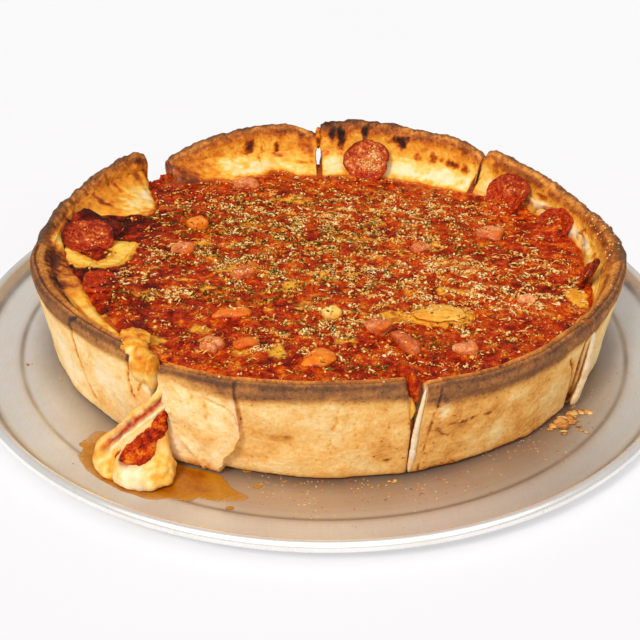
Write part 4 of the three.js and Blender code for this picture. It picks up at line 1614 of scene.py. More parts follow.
@dataclass
class CrustWall:
    """Crust of all slices: moulded wall with its band, lip, blistered inside and cut faces."""

    noise: Noise
    tones: InnerTones
    flap: Flap = field(default_factory=Flap)
    column_step: float = 0.42
    tear_step: float = 0.06
    cap_columns: int = 7
    # Steps between the section's keys: floor, foot, wall and lip, then lip, inner wall and floor again.
    outer_counts: tuple[int, ...] = (8, 3, 3, 2, 5, 12, 12, 13, 7, 3, 3, 3, 3)
    inner_counts: tuple[int, ...] = (3, 3, 4, 5, 14, 11, 11, 13, 13)
    # Row part way up the outer wall, which shows the direction of a cut face.
    wall_row: int = 20
    # Angle, half width in degrees and depth of the swells of the wall.
    swells: tuple = ((200.0, 26.0, 2.6), (-14.0, 16.0, 1.6))
    # Angle, height, half width in degrees and depth of the dimples in the wall.
    dimples: tuple = (
        (-98.5, 24.0, 2.4, 1.4),
        (-93.0, 26.0, 2.2, 1.2),
        (-87.0, 30.0, 1.2, 1.0),
        (-66.0, 38.0, 3.4, 0.9),
        (-60.0, 38.0, 2.6, 1.0),
    )
    wall_bake: tuple = (
        (-180, 0.22), (-160, 0.19), (-140, 0.17), (-122, 0.19), (-119, 0.17), (-108, 0.20), (-104, 0.30),
        (-90, 0.31), (-79, 0.34), (-76, 0.40), (-68, 0.45), (-55, 0.41), (-45, 0.36), (-38, 0.24),
        (-28, 0.14), (-10, 0.24), (40, 0.46), (90, 0.44), (150, 0.34),
    )
    band_depth: tuple = (
        (-180, 12), (-150, 10), (-125, 7.5), (-119, 5.0), (-110, 7.0), (-104, 8.5), (-90, 7.0),
        (-79, 8.5), (-72, 11), (-50, 11), (-38, 10), (-26, 7), (-14, 6), (30, 10), (150, 12),
    )
    band_strength: tuple = (
        (-180, 1.0), (-140, 0.95), (-125, 0.7), (-119, 0.5), (-110, 0.7), (-104, 0.95), (-79, 0.95),
        (-60, 1.0), (-38, 0.9), (-26, 0.75), (-10, 0.7), (20, 0.6), (150, 0.7),
    )
    crest_bake: tuple = (
        (-180, 0.84), (-172, 0.80), (-120, 0.7), (-13, 0.82), (0, 0.78), (10, 0.74), (20, 0.68), (30, 0.66),
        (45, 0.68), (50, 0.7), (60, 0.72), (70, 0.76), (78, 0.84), (84, 0.9), (90, 0.95), (93, 0.84),
        (97, 0.72), (104, 0.74), (112, 0.80), (120, 0.76), (128, 0.78), (134, 0.72), (138, 0.78),
        (150, 0.76), (168, 0.8),
    )
    # Browning across the moulded lip, from its outer edge inwards.
    lip_lines: tuple = (
        (0, 0.7), (0.12, 0.8), (0.3, 0.64), (0.45, 0.84), (0.6, 0.66), (0.8, 0.56), (1, 0.48),
    )
    # Grease on the inside by depth below the crest.
    inner_grease: tuple = ((0, 0.3), (2, 0.6), (6, 0.9), (16, 1.0))
    cracks: tuple = (
        crack(
            0.75, 1.3, 0.62, (-138.6, 58.0), (-140.4, 52.6), (-141.6, 43.6), (-141.4, 35.5), (-141.0, 27.3),
            (-140.0, 18.7), (-138.6, 11.0),
        ),
        crack(
            0.55, 0.9, 0.5, (-124.3, 52.0), (-125.0, 45.8), (-125.5, 38.6), (-125.3, 33.0), (-124.4, 27.4),
        ),
        crack(0.5, 0.7, 0.45, (-122.8, 47.0), (-122.4, 40.0), (-123.2, 34.0)),
        crack(0.45, 0.7, 0.26, (-111.4, 43.6), (-111.2, 35.3), (-111.9, 30.0)),
        crack(
            0.5, 0.8, 0.28, (-111.2, 42.6), (-109.6, 41.8), (-107.8, 40.4), (-106.4, 37.0), (-106.0, 32.0),
        ),
        crack(0.45, 0.5, 0.2, (-117.0, 49.0), (-114.0, 45.6), (-113.4, 40.0)),
        crack(0.5, 0.9, 0.2, (-89.0, 42.1), (-89.2, 35.8), (-90.1, 31.2)),
        crack(0.5, 0.7, 0.3, (-73.4, 27.5), (-72.2, 23.6), (-70.6, 21.8)),
        crack(0.4, 0.4, 0.16, (-74.2, 47.0), (-72.6, 40.0), (-73.6, 33.0)),
        crack(0.4, 0.6, 0.3, (-74.3, 50.0), (-74.7, 38.0), (-75.0, 26.0), (-75.0, 14.0), (-75.4, 4.0)),
        crack(0.7, 1.2, 0.5, (-41.8, 36.0), (-40.0, 30.0), (-38.9, 22.0), (-38.2, 12.0), (-38.0, 4.0)),
    )
    # Torn pale edges of dough beside the cuts, by angle and height.
    raw_trails: tuple = (
        (Trail(((-73.2, 39.0), (-72.8, 35.0)), 1.6), 0.3),
        (Trail(((-36.6, 42.0), (-36.2, 24.0), (-36.8, 6.0)), 1.0), 0.4),
        (Trail(((-119.4, 40.0), (-119.2, 6.0)), 1.6), 0.4),
        (Trail(((-106.3, 44.0), (-106.1, 30.0), (-107.4, 18.0), (-109.6, 8.0)), 1.5), 0.3),
    )
    ridge: Trail = Trail(((-116.4, 18.0), (-113.6, 10.5), (-110.9, 3.6)), 0.9)
    outer_spots: tuple = spots_at(
        (-99.5, 25.5, 5.0, 2.8, 0.16), (-97.5, 26.6, 2.4, 1.4, 0.12), (-80.6, 12.8, 2.0, 0.9, 0.36),
        (-77.6, 13.0, 1.2, 0.7, 0.3), (-82.0, 20.0, 7.0, 7.0, 0.08), (-92.0, 36.0, 12.0, 4.0, -0.1),
        (-70.7, 28.9, 2.6, 0.8, 0.2), (-68.6, 28.0, 3.0, 0.8, 0.2), (-66.0, 28.6, 2.6, 0.8, 0.18),
        (-63.0, 28.2, 3.0, 1.0, 0.2), (-66.0, 27.0, 10.0, 3.5, 0.1), (-72.7, 37.1, 3.4, 4.8, -0.2),
        (-62.0, 12.0, 16.0, 9.0, -0.14), (-45.0, 16.0, 12.0, 12.0, -0.1), (-56.0, 33.0, 8.0, 4.0, -0.1),
        (-103.0, 8.0, 12.0, 5.0, -0.06), (-116.0, 13.0, 9.0, 7.0, -0.06), (-112.0, 34.0, 9.0, 8.0, -0.06),
        (-112.0, 5.0, 12.0, 4.0, 0.16), (-112.0, 22.0, 7.0, 4.0, 0.1), (-107.6, 46.0, 3.0, 4.0, 0.12),
        (-105.4, 42.0, 0.8, 10.0, 0.12), (-132.0, 30.0, 12.0, 10.0, -0.08),
        (-147.0, 20.0, 14.0, 12.0, -0.06), (-128.0, 42.0, 6.0, 8.0, -0.04), (-134.0, 14.0, 10.0, 6.0, 0.08),
    )

    def crest(self, shape: SliceShape, angle: np.ndarray) -> np.ndarray:
        """Height of a slice's crest at each angle, with the small bumps of a free rim."""
        steps = np.linspace(shape.start, shape.end, len(shape.crest))
        plain = np.interp(angle, steps, shape.crest)
        soft = sum(np.interp(angle + shift, steps, shape.crest) for shift in (-1.6, -0.8, 0.8, 1.6))
        line = polar(angle, RIM_RADIUS, 0.0)
        free = 1.0 - 0.75 * shape.moulded
        ends = np.minimum(angle - shape.start, shape.end - angle) * ARC
        plain = plain - 5 * 1.6 * free * ramp(3.6, 0.0, ends)
        bumps = self.noise.rough(line, 9.0, 3) * 0.9 + self.noise.rough(line, 3.0, 2) * 0.4
        return (plain + soft) / 5 + bumps * free

    def crest_over(self, angle: np.ndarray) -> np.ndarray:
        """Height of the crest over each angle."""
        height = np.zeros_like(angle)
        for shape in SLICES:
            own = (angle - shape.start) % 360.0
            height = np.where(own <= shape.end - shape.start, self.crest(shape, shape.start + own), height)
        return height

    def outer(self, angle: np.ndarray, height: np.ndarray) -> np.ndarray:
        """Radius of the outer wall, with its swells and dimples and the flap."""
        level = (height - FOOT_HEIGHT) / (RIM_HEIGHT - FOOT_HEIGHT)
        radius = FOOT_RADIUS + (RIM_RADIUS - FOOT_RADIUS) * level
        radius = radius + 0.7 * waves(np.radians(angle) * 9, level * 4)
        for centre, width, swell in self.swells:
            radius = radius + swell * ramp(width, 0.0, np.abs(turn_from(angle, centre)))
        for centre, middle, half, depth in self.dimples:
            along = turn_from(angle, centre) / half
            radius = radius - depth * np.exp(-(along**2) - ((height - middle) / 5) ** 2)
        return radius + self.flap.relief(angle, level)

    def section(self, shape: SliceShape, angle: np.ndarray) -> tuple[np.ndarray, np.ndarray]:
        """Section of the crust at each angle, from under the tip round the wall to the floor's tip.

        Args:
            shape: The slice.
            angle: Angles of its columns in degrees.

        Returns:
            Array of columns, rows and radius and height, and the crest's height at each column.
        """
        crest = self.crest(shape, angle)
        foot = self.outer(angle, np.full_like(angle, FOOT_HEIGHT + FOOT_ROUNDING))
        lip = self.outer(angle, crest) - 0.1
        band = crest - BAND_DEPTH
        keys = [
            (3.0, FOOT_HEIGHT),
            (foot - 2 * FOOT_ROUNDING, FOOT_HEIGHT),
            (foot - FOOT_ROUNDING * 0.45, FOOT_HEIGHT + 0.5),
            (foot - FOOT_ROUNDING * 0.1, FOOT_HEIGHT + FOOT_ROUNDING * 0.45),
            *((self.outer(angle, np.full_like(angle, up)), up) for up in (8.0, 12.0, 22.0, 32.0)),
            (self.outer(angle, band), band),
            (lip + 0.15, crest - 5.5),
            (lip - 0.1, crest - 2.6),
            (lip - 0.9, crest - 0.8),
            (lip - 2.2, crest - 0.05),
            (lip - 3.3, crest - shape.mould),
            (lip - 4.6, crest + 0.1),
            (lip - 5.9, crest - 0.9),
            (inner_radius(crest - 4), crest - 4),
            (inner_radius(crest - 8), crest - 8),
            *((inner_radius(up), up) for up in (36.0, 27.0, 18.0, FLOOR_TOP)),
            (3.0, FLOOR_TOP),
        ]
        return section_at(angle, keys, [*self.outer_counts, *self.inner_counts]), crest

    def torn(self, shape: SliceShape) -> bool:
        """Whether the flap's tear lies in a slice."""
        return shape.start < self.flap.tear < shape.end

    def columns(self, shape: SliceShape) -> np.ndarray:
        """Angles of a slice's columns, closer together at the tear."""
        count = round((shape.end - shape.start) / self.column_step)
        angles = np.linspace(shape.start, shape.end, count + 1)
        if not self.torn(shape):
            return angles
        close = self.flap.tear + np.arange(-9, 10) * self.tear_step
        apart = angles[np.abs(angles - self.flap.tear) > 0.7]
        return np.sort(np.concatenate([apart, close]))

    def place(self, shape: SliceShape, angle: np.ndarray, section: np.ndarray) -> np.ndarray:
        """Points of a slice, drawn in from its cuts by the gaps.

        Args:
            shape: The slice.
            angle: Angles of the columns in degrees.
            section: Radius and height at each column and row.

        Returns:
            Array of columns, rows and x, y, z.
        """
        radius, height = section[..., 0], section[..., 1]
        gaps = [np.degrees(table_at(height, table) / RIM_RADIUS) for table in shape.gaps]
        along = polar(angle[:, None], 0.0, height)
        along[..., 0] = 40.0
        jag = self.noise.rough(along, (1e6, 1e6, 5.0), 3)
        upright = angle[:, None] - self.flap.lean(angle[:, None], height, jag)
        part = (upright - shape.start) / (shape.end - shape.start)
        placed = (shape.start + gaps[0]) * (1 - part) + (shape.end - gaps[1]) * part
        first, last = math.radians(shape.start), math.radians(shape.end)
        turn = math.sin(last - first)
        foot = [table[0][1] for table in shape.gaps]
        tip_x = (foot[0] * math.cos(last) + foot[1] * math.cos(first)) / turn
        tip_y = (foot[0] * math.sin(last) + foot[1] * math.sin(first)) / turn
        near = 1 - radius / RIM_RADIUS
        points = polar(placed, radius, height)
        points[..., 0] += tip_x * near
        points[..., 1] += tip_y * near
        return points

    def outside(self, section: np.ndarray) -> np.ndarray:
        """Whether each row of a section lies on the outer wall or the outer part of the lip."""
        return np.arange(section.shape[1])[None, :] < sum(self.outer_counts) - 3

    def across_lip(self, skin: Skin) -> np.ndarray:
        """How far each point lies across the lip, from 0 at its outer edge to 1."""
        outer = self.outer(skin.angle, skin.crest)[:, None]
        return np.clip((outer - skin.radius) / LIP_WIDTH, 0.0, 1.0)

    def wall_tones(
        self, skin: Skin, rag: np.ndarray, slow: np.ndarray, cloud: np.ndarray
    ) -> tuple[np.ndarray, np.ndarray]:
        """The outer wall: its own tone, its patches and the band that the baking pan's edge left.

        Args:
            skin: The slice's grid.
            rag: Noise that makes outlines ragged.
            slow: Wide noise.
            cloud: Noise of the blotches.

        Returns:
            Browning and ash.
        """
        turn, height, below = skin.turn, skin.height, skin.below
        depth = round_table(turn, self.band_depth)
        strength = round_table(turn, self.band_strength)
        band = ramp(depth + 3.4, depth - 2.6, below + 0.7 * rag + 0.9 * slow) * strength
        foot = ramp(8.0, 2.0, height)
        wall = round_table(turn, self.wall_bake) + 0.1 * slow + 0.13 * cloud + 0.04 * rag + 0.12 * foot
        wall += wall_spots(self.outer_spots, turn, height, rag)
        edge = ramp(2.4, 0.6, below)
        band_tone = 0.66 + 0.1 * edge + 0.1 * cloud
        wall = wall + band * (band_tone - wall)
        return wall, band * 0.62 * (0.85 + 0.3 * slow) * (1 - 0.6 * edge)

    def lip_tones(
        self, skin: Skin, rag: np.ndarray, slow: np.ndarray, cloud: np.ndarray
    ) -> tuple[np.ndarray, np.ndarray]:
        """The lip: lines of the pan's edge where it was moulded, blistered brown where it rose free.

        Args:
            skin: The slice's grid.
            rag: Noise that makes outlines ragged.
            slow: Wide noise.
            cloud: Noise of the blotches.

        Returns:
            Browning and ash.
        """
        moulded = skin.shape.moulded
        across = self.across_lip(skin)
        free = round_table(skin.turn, self.crest_bake) + 0.14 * rag + 0.1 * cloud
        free = free - 0.14 * ramp(0.5, 1.0, across)
        lip = table_at(across, self.lip_lines) * moulded + free * (1 - moulded) + 0.06 * slow
        ash = 0.3 * moulded * ramp(0.7, 0.2, across) + 0.55 * (1 - moulded) * ramp(1.0, 0.3, across)
        return lip, ash

    def paint(self, skin: Skin) -> tuple[Paint, np.ndarray]:
        """Browning, ash and grease over a slice, and how far cracks press in.

        Args:
            skin: The slice's grid.

        Returns:
            Paint by name, and the depth of the cracks at each point.
        """
        turn, height, below = skin.turn, skin.height, skin.below
        outside = self.outside(skin.section)
        rag = self.noise.rough(skin.points, 5.0, 3)
        slow = self.noise.rough(skin.points, 22.0, 3)
        cloud = self.noise.rough(skin.points, 11.0, 4, 0.6)
        wall, wall_ash = self.wall_tones(skin, rag, slow, cloud)
        lip, lip_ash = self.lip_tones(skin, rag, slow, cloud)
        inside = self.tones.bake(turn, skin.radius, height, skin.crest[:, None], skin.points)
        inside_grease = table_at(below, self.inner_grease)

        top = np.where(outside, ramp(4.2, 1.6, below), ramp(2.8, 0.9, below))
        bake = np.where(outside, wall + (lip - wall) * top, inside + (lip - inside) * top)
        ash = np.where(outside, wall_ash + (lip_ash - wall_ash) * top, lip_ash * top)
        grease = np.where(outside, 0.0, inside_grease * (1 - 0.7 * top))

        pressed = np.zeros_like(bake)
        for split in self.cracks:
            near = split.trail.near(turn, height, 0.6 * rag, ARC) * outside
            pressed += split.depth * near
            # Each crack is painted darker along its line.
            bake = bake + split.darkening * near
            grease = np.maximum(grease, 0.8 * near * (split.darkening > 0.45))
        pressed -= 1.2 * self.ridge.near(turn, height, 0.6 * rag, ARC) * outside
        raw = np.zeros_like(bake)
        for trail, share in self.raw_trails:
            raw = np.maximum(raw, share * trail.near(turn, height, 0.8 * rag, ARC) * outside)
        if self.torn(skin.shape):
            away = np.abs(skin.angle - self.flap.tear)[:, None]
            seam = np.exp(-((away / 0.22) ** 2)) * outside
            bake += 0.2 * seam * ramp(24.0, 34.0, height)
            pressed += 0.4 * seam * ramp(26.0, 34.0, height)
        dusted = ramp(16.0, 6.0, np.abs(turn_from(turn, 2.0))) * ramp(12.0, 3.0, below)
        across = self.across_lip(skin)
        grated = 0.42 * dusted + 0.1 * ramp(3.5, 1.5, below) * ramp(0.4, 0.8, across) * skin.shape.moulded
        paint = {
            "bake": bake,
            "ash": np.clip(ash, 0, 1),
            "grease": np.clip(grease, 0, 1),
            "raw": raw,
            "grated": grated,
        }
        return paint, pressed

    def relief(self, skin: Skin) -> np.ndarray:
        """How far the surface stands out from its smooth form.

        Args:
            skin: The slice's grid.

        Returns:
            Millimetres along the normal.
        """
        angle, points = skin.angle, skin.points
        outside = self.outside(skin.section)
        top = ramp(6.0, 2.0, skin.below)
        free = 1.0 - 0.8 * skin.shape.moulded
        rough = self.noise.rough(points, 7.0, 4)
        fine = self.noise.wave(points, 1.6)
        nearest, _, tone = self.noise.cells(points, 7.5)
        blister = ramp(0.55, 0.1, nearest) * (tone > 0.45)
        flakes = np.maximum(self.noise.rough(points, (9.0, 9.0, 4.0), 3), 0.15) - 0.15
        near, other, _ = self.noise.cells(points, 5.5)
        torn = ramp(22.0, 12.0, np.abs(turn_from(angle, -117.0)) * ARC)[:, None]
        crackle = ramp(0.16, 0.0, other - near + 0.06 * fine) * torn
        outer = 0.34 * rough + 0.1 * fine + 0.4 * flakes + torn * 0.3 * rough - 0.35 * crackle
        lip = free * (0.9 * rough + 0.6 * blister) + 0.1 * fine + 0.12 * rough
        inner = 0.6 * rough + 0.9 * blister + 0.14 * fine
        ends = np.minimum(angle - angle[0], angle[-1] - angle)[:, None] * ARC
        calm = 0.3 + 0.7 * ramp(0.0, 3.0, ends)
        return np.where(outside, outer + (lip - outer) * top, inner + (lip - inner) * top) * calm

    def cap(self, shell: np.ndarray, column: int, rawness: float, start: int) -> Surface:
        """Cut face that closes one end of a slice.

        Args:
            shell: Points of the slice's outer skin.
            column: First or last column.
            rawness: How pale and raw the dough is; a low value paints the face dark with the slit's shade.
            start: Number of points before the face's own.

        Returns:
            Surface with the face's inner points, whose faces also name the skin's points.
        """
        columns, rows = shell.shape[:2]
        middle = sum(self.outer_counts)
        edge = shell[column]
        outer, inner = edge[: middle + 1], edge[rows - 1 : middle - 1 : -1]
        inner_rows = np.arange(rows - 1, middle - 1, -1)
        parts = np.linspace(0, 1, self.cap_columns + 2)[1:-1]
        body = outer[:-1, None] + (inner[:-1, None] - outer[:-1, None]) * parts[None, :, None]
        outward = np.cross(edge[self.wall_row] - edge[0], [0, 0, 1.0])
        outward /= np.linalg.norm(outward)
        if column == 0:
            outward = -outward
        across = np.sin(parts * np.pi)[None, :]
        lumps = self.noise.rough(body, 4.0, 4) * 0.9 + self.noise.wave(body, 9.0) * 0.5
        body = body + (lumps * across)[..., None] * outward * -0.6
        count = self.cap_columns
        own = start + np.arange(middle * count).reshape(middle, count)
        base = (columns - 1 if column else 0) * rows
        left = base + np.arange(middle)[:, None]
        right = base + inner_rows[:middle][:, None]
        table = np.concatenate([left, own, right], axis=1)
        quads = [table[:-1, :-1], table[:-1, 1:], table[1:, 1:], table[1:, :-1]]
        faces = np.stack(quads, axis=-1).reshape(-1, 4)
        peak = np.full(count + 1, base + middle)
        closing = np.stack([table[-1, :-1], table[-1, 1:], peak], axis=-1)
        tone = self.noise.rough(body, 6.0, 3)
        height = body[..., 2]
        browned = 0.12 + 0.14 * tone + 0.35 * ramp(44.0, 54.0, height)
        oil = 0.5 * ramp(0.55, 0.95, parts)[None, :] * ramp(20, 40, height)
        # A face that is not raw is painted dark and greasy, as the shade inside the slit.
        layers = {
            "bake": (browned * rawness + (0.78 + 0.2 * tone) * (1 - rawness)).ravel(),
            "raw": (np.clip(0.85 + 0.5 * tone - 0.7 * ramp(44.0, 54.0, height), 0, 1) * rawness).ravel(),
            "grease": np.maximum(oil, 0.8 - rawness).ravel(),
        }
        return Surface(body.reshape(-1, 3), [faces, closing], layers)

    def build(self, finish: Finish) -> None:
        """Builds the eight slices.

        Args:
            finish: Finish of the dough.
        """
        for shape in SLICES:
            angle = self.columns(shape)
            section, crest = self.section(shape, angle)
            skin = Skin(shape, angle, section, crest, self.place(shape, angle, section))
            paint, pressed = self.paint(skin)
            out = self.relief(skin) - pressed
            hidden = ramp(14.0, 30.0, skin.radius) * ramp(1.0, 3.0, skin.height)
            points = skin.points + grid_normals(skin.points) * (out * hidden)[..., None]
            columns, rows = points.shape[:2]
            surface = Surface.grid(points, paint)
            ends = np.arange(columns - 1)
            floor = [ends * rows, (ends + 1) * rows, (ends + 1) * rows + rows - 1, ends * rows + rows - 1]
            surface.faces.append(np.stack(floor, axis=-1))
            for column, rawness in zip((0, -1), shape.raw):
                cap = self.cap(points, column, rawness, len(surface.points))
                surface.add(Surface(cap.points, [], cap.paint))
                surface.faces += cap.faces
            surface.object(f"crust_wall_{shape.number}", finish, [f"crust_slice_{shape.number}"])


# ------------------------------------------------------------------ filling


@dataclass
class Topping:
    """Piece of topping that lies in the sauce: its place, size and turn."""

    node: str
    at: tuple[float, float]
    size: tuple[float, float, float]
    turn: float
    finish: Finish
    squareness: float = 4.4
    lift: float = 0.06
    dusted: float = 0.25
    tone: float = 0.5

    def height_over(self, x: np.ndarray, y: np.ndarray, level: np.ndarray) -> np.ndarray:
        """Height of its upper side over a place, or -1 where it isn't."""
        along, across = turned(x - self.at[0], y - self.at[1], -math.radians(self.turn))
        power = self.squareness
        reach = np.abs(2 * along / self.size[0]) ** power + np.abs(2 * across / self.size[1]) ** power
        top = level + self.size[2] * (self.lift + 0.5 * np.clip(1 - reach, 0, 1) ** (1 / power))
        return np.where(reach < 0.8, top, -1.0)


class Grain(Enum):
    """Kinds of small scattered things."""

    GRATED = "grated_cheese"
    SHREDS = "cheese_shreds"
    HERBS = "herb_flakes"


@dataclass
class SauceField:
    """Upper face of the sauce as a function of place, and what shows in it."""

    noise: Noise
    # Melted cheese that comes through the sauce.
    melts: tuple = spots_at(
        (-43, 32, 9, 6, 0.5), (-19, -44, 6, 5, 0.7), (-5, -31, 6, 5, 0.7), (-12, -28, 5, 4, 0.6),
        (-39, -112, 5, 9, 0.6), (-24, -113, 6, 9, 0.7), (-59, -95, 6, 6, 0.6), (52, -72, 17, 11, 1.3),
        (32, -76, 10, 7, 0.5), (7, -100, 7, 6, 0.6), (-68, 1, 6, 6, 0.6), (-50, -29, 9, 7, 0.6),
        (-110, -4, 8, 7, 0.9), (-82, -107, 11, 6, 0.95), (-105, -88, 8, 9, 0.8), (122, -48, 6, 12, 0.9),
        (14, 16, 12, 9, 0.5), (-89, 51, 11, 4, 0.45), (60, -45, 14, 8, 0.4), (-22, 74, 16, 8, 0.45),
        (30, 92, 20, 6, 0.4), (-88, -60, 9, 6, 0.5), (-60, -50, 8, 5, 0.45), (-3, 54, 10, 5, 0.4),
        (84, -92, 9, 6, 0.4), (-12, -66, 9, 6, 0.5),
    )
    melt_band: Trail = Trail(
        ((-138, -12), (-131, -21), (-124, -27), (-117, -30), (-111, -26), (-107, -17), (-106, -5)), 5.2
    )
    burns: tuple = spots_at(
        (-128, 24, 24, 10, 0.8), (-106, 32, 14, 10, 0.5), (-127, -37, 10, 6, 0.8), (-120, -46, 8, 6, 0.6),
        (-135, -27, 5, 6, 0.8), (-112, -52, 6, 4, 0.4), (-143, 5, 5, 7, 0.5), (-98, 58, 8, 8, 0.4),
        (-92, 80, 12, 7, 0.6), (-82, 94, 10, 6, 0.5), (30, -34, 6, 3, 0.5), (2, 96, 10, 5, 0.3),
        (-30, -106, 4, 4, 0.9), (96, -28, 5, 3, 0.3), (8, -44, 5, 3, 0.5),
    )
    # Angle, half width in degrees and height of the places where the sauce climbs the wall.
    climbs: tuple = ((35.5, 6.5, 5.0), (16.5, 7.0, 6.5), (173.0, 10.0, 6.0), (-15.0, 4.0, 3.0))
    swells: tuple = spots_at(
        (-82, -107, 11, 6, 1.4), (-89, 51, 12, 3, 1.2), (-110, -4, 9, 7, 0.8), (-45, -80, 12, 7, 1.0),
        (52, -72, 15, 9, 0.8), (-100, 30, 12, 8, 1.0), (-5, -120, 10, 8, 0.8), (-128, 20, 15, 10, 5.0),
        (-107, -56, 14, 13, 3.2), (101, 71, 11, 11, 4.2), (120, 37, 11, 11, 4.2), (-122, -40, 10, 8, 1.6),
    )
    sprinkles: dict = field(
        default_factory=lambda: {
            Grain.GRATED: (
                0.12,
                spots_at(
                    (63, -17, 26, 16, 0.9), (16, -34, 18, 14, 0.8), (85, -53, 34, 14, 0.7),
                    (66, -90, 18, 12, 0.4), (108, -20, 16, 34, 0.35), (47, 19, 30, 18, 0.5),
                    (-24, 40, 44, 20, 0.5), (-76, -59, 12, 9, 0.9), (-79, -12, 20, 14, 0.6),
                    (30, 60, 60, 30, 0.35), (0, -110, 50, 14, 0.2), (-35, -104, 12, 12, 0.4),
                    (-40, -29, 26, 20, 0.5), (7, -78, 24, 16, 0.7), (50, -48, 40, 16, 0.6),
                    (-10, -10, 60, 40, 0.35), (76, 60, 30, 24, 0.25), (-60, 62, 30, 16, 0.4),
                    (-14, -92, 20, 10, 0.4), (-100, -40, 14, 12, 0.25), (-120, 12, 20, 22, -0.3),
                ),
            ),
            Grain.SHREDS: (
                0.1,
                spots_at(
                    (63, -15, 22, 14, 0.9), (16, -33, 14, 10, 0.8), (90, -40, 34, 30, 0.5),
                    (7, -86, 14, 12, 0.9), (100, -10, 20, 30, 0.5), (40, -40, 50, 30, 0.4),
                    (-30, 10, 60, 50, 0.25), (40, -124, 16, 6, 0.8), (114, 31, 12, 10, 0.6),
                    (-76, -59, 12, 9, 0.4), (0, 60, 80, 30, 0.15),
                ),
            ),
            Grain.HERBS: (
                0.05,
                spots_at(
                    (-64, 32, 30, 20, 0.9), (-24, 26, 36, 22, 0.9), (-42, -58, 22, 12, 0.7),
                    (-60, 60, 26, 14, 0.5), (4, 15, 30, 18, 0.6), (-17, 66, 50, 16, 0.4),
                    (-67, -12, 22, 14, 0.6), (12, -40, 40, 20, 0.35), (0, -88, 24, 14, 0.5),
                    (68, 7, 26, 16, 0.4), (44, -102, 18, 10, 0.35), (-9, -126, 14, 5, 0.5),
                    (12, -126, 16, 5, 0.5), (78, -99, 10, 6, 0.35), (50, 40, 40, 26, 0.3),
                    (-20, -20, 50, 30, 0.4), (100, -30, 20, 20, 0.25), (-90, -66, 16, 10, 0.35),
                ),
            ),
        }
    )

    def top(self, x: np.ndarray, y: np.ndarray) -> np.ndarray:
        """Height of the sauce with its pulp.

        Args:
            x: Places from the pizza's axis.
            y: Places from the pizza's axis.

        Returns:
            Heights above the table.
        """
        flat = flat_points(x, y)
        level = fill_level(x, y) + 0.7 * waves(x / 7, y / 7)
        angle, out = heading(x, y), np.hypot(x, y)
        for centre, half, rise in self.climbs:
            near = np.exp(-((turn_from(angle, centre) / half) ** 2))
            level = level + rise * near * ramp(-13.0, 0.0, out - sauce_edge(angle))
        level = level + flat_spots(self.swells, x, y, 0 * x)
        nearest, _, tone = self.noise.cells(flat, 4.6)
        lumps = ramp(0.7, 0.05, nearest) * (0.2 + 0.8 * tone)
        level = level + 0.9 * self.noise.rough(flat, 13.0, 3) + 1.2 * lumps
        return level + 0.4 * self.noise.rough(flat, 2.6, 3)

    def paint(self, x: np.ndarray, y: np.ndarray) -> Paint:
        """What shows at each place: melted cheese, scorching, tone, grated cheese and herb."""
        flat = flat_points(x, y)
        ragged = self.noise.rough(flat, 6.0, 3)
        edge = ramp(-7.0, 0.0, np.hypot(x, y) - sauce_edge(heading(x, y)))
        melt = flat_spots(self.melts, x, y, ragged) + 1.6 * self.melt_band.near(x, y, 1.4 * ragged)
        burn = flat_spots(self.burns, x, y, ragged)
        back = ramp(20.0, 80.0, y)
        middle = ramp(118.0, 70.0, np.hypot(x + 6.0, y + 6.0))
        patchy = ramp(-0.05, 0.5, self.noise.rough(flat + 90, (11.0, 7.0, 1e6), 3))
        melt = melt + 0.75 * middle * patchy * ramp(0.2, 0.6, self.density(Grain.GRATED, x, y) + 0.35)
        tone = 0.52 + 0.2 * self.noise.rough(flat, 18.0, 3) + 0.24 * self.noise.rough(flat, 7.0, 2)
        tone = tone - 0.26 * ramp(-60.0, -120.0, x) + 0.24 * edge * back
        melt = melt + 0.3 * edge * back * ramp(-0.2, 0.4, ragged)
        grated = 0.95 * self.density(Grain.GRATED, x, y) * (1 - 0.8 * np.clip(burn, 0, 1))
        herb = 0.75 * self.density(Grain.HERBS, x, y)
        return {"melt": melt, "burn": burn, "tone": tone, "grated": grated, "herb": herb}

    def density(self, kind: Grain, x: np.ndarray, y: np.ndarray) -> np.ndarray:
        """How thick a kind of sprinkle lies at each place.

        Args:
            kind: The kind.
            x: Places from the pizza's axis.
            y: Places from the pizza's axis.

        Returns:
            Shares from 0 to about 1.
        """
        flat = flat_points(x, y)
        rag = self.noise.rough(flat, 14.0, 3)
        clump = ramp(-0.12, 0.34, self.noise.rough(flat + 50, (9.0, 6.0, 1e6), 3))
        bare = 1.0 - np.clip(1.2 * self.melt_band.near(x, y, 0.0 * x), 0.0, 1.0)
        base, patches = self.sprinkles[kind]
        edge = ramp(1.0, 0.96, np.hypot(x, y) / sauce_edge(heading(x, y)))
        thick = (base + flat_spots(patches, x, y, rag)) * (0.1 + 2.0 * clump)
        return np.clip(thick, 0.0, 1.25) * edge * bare


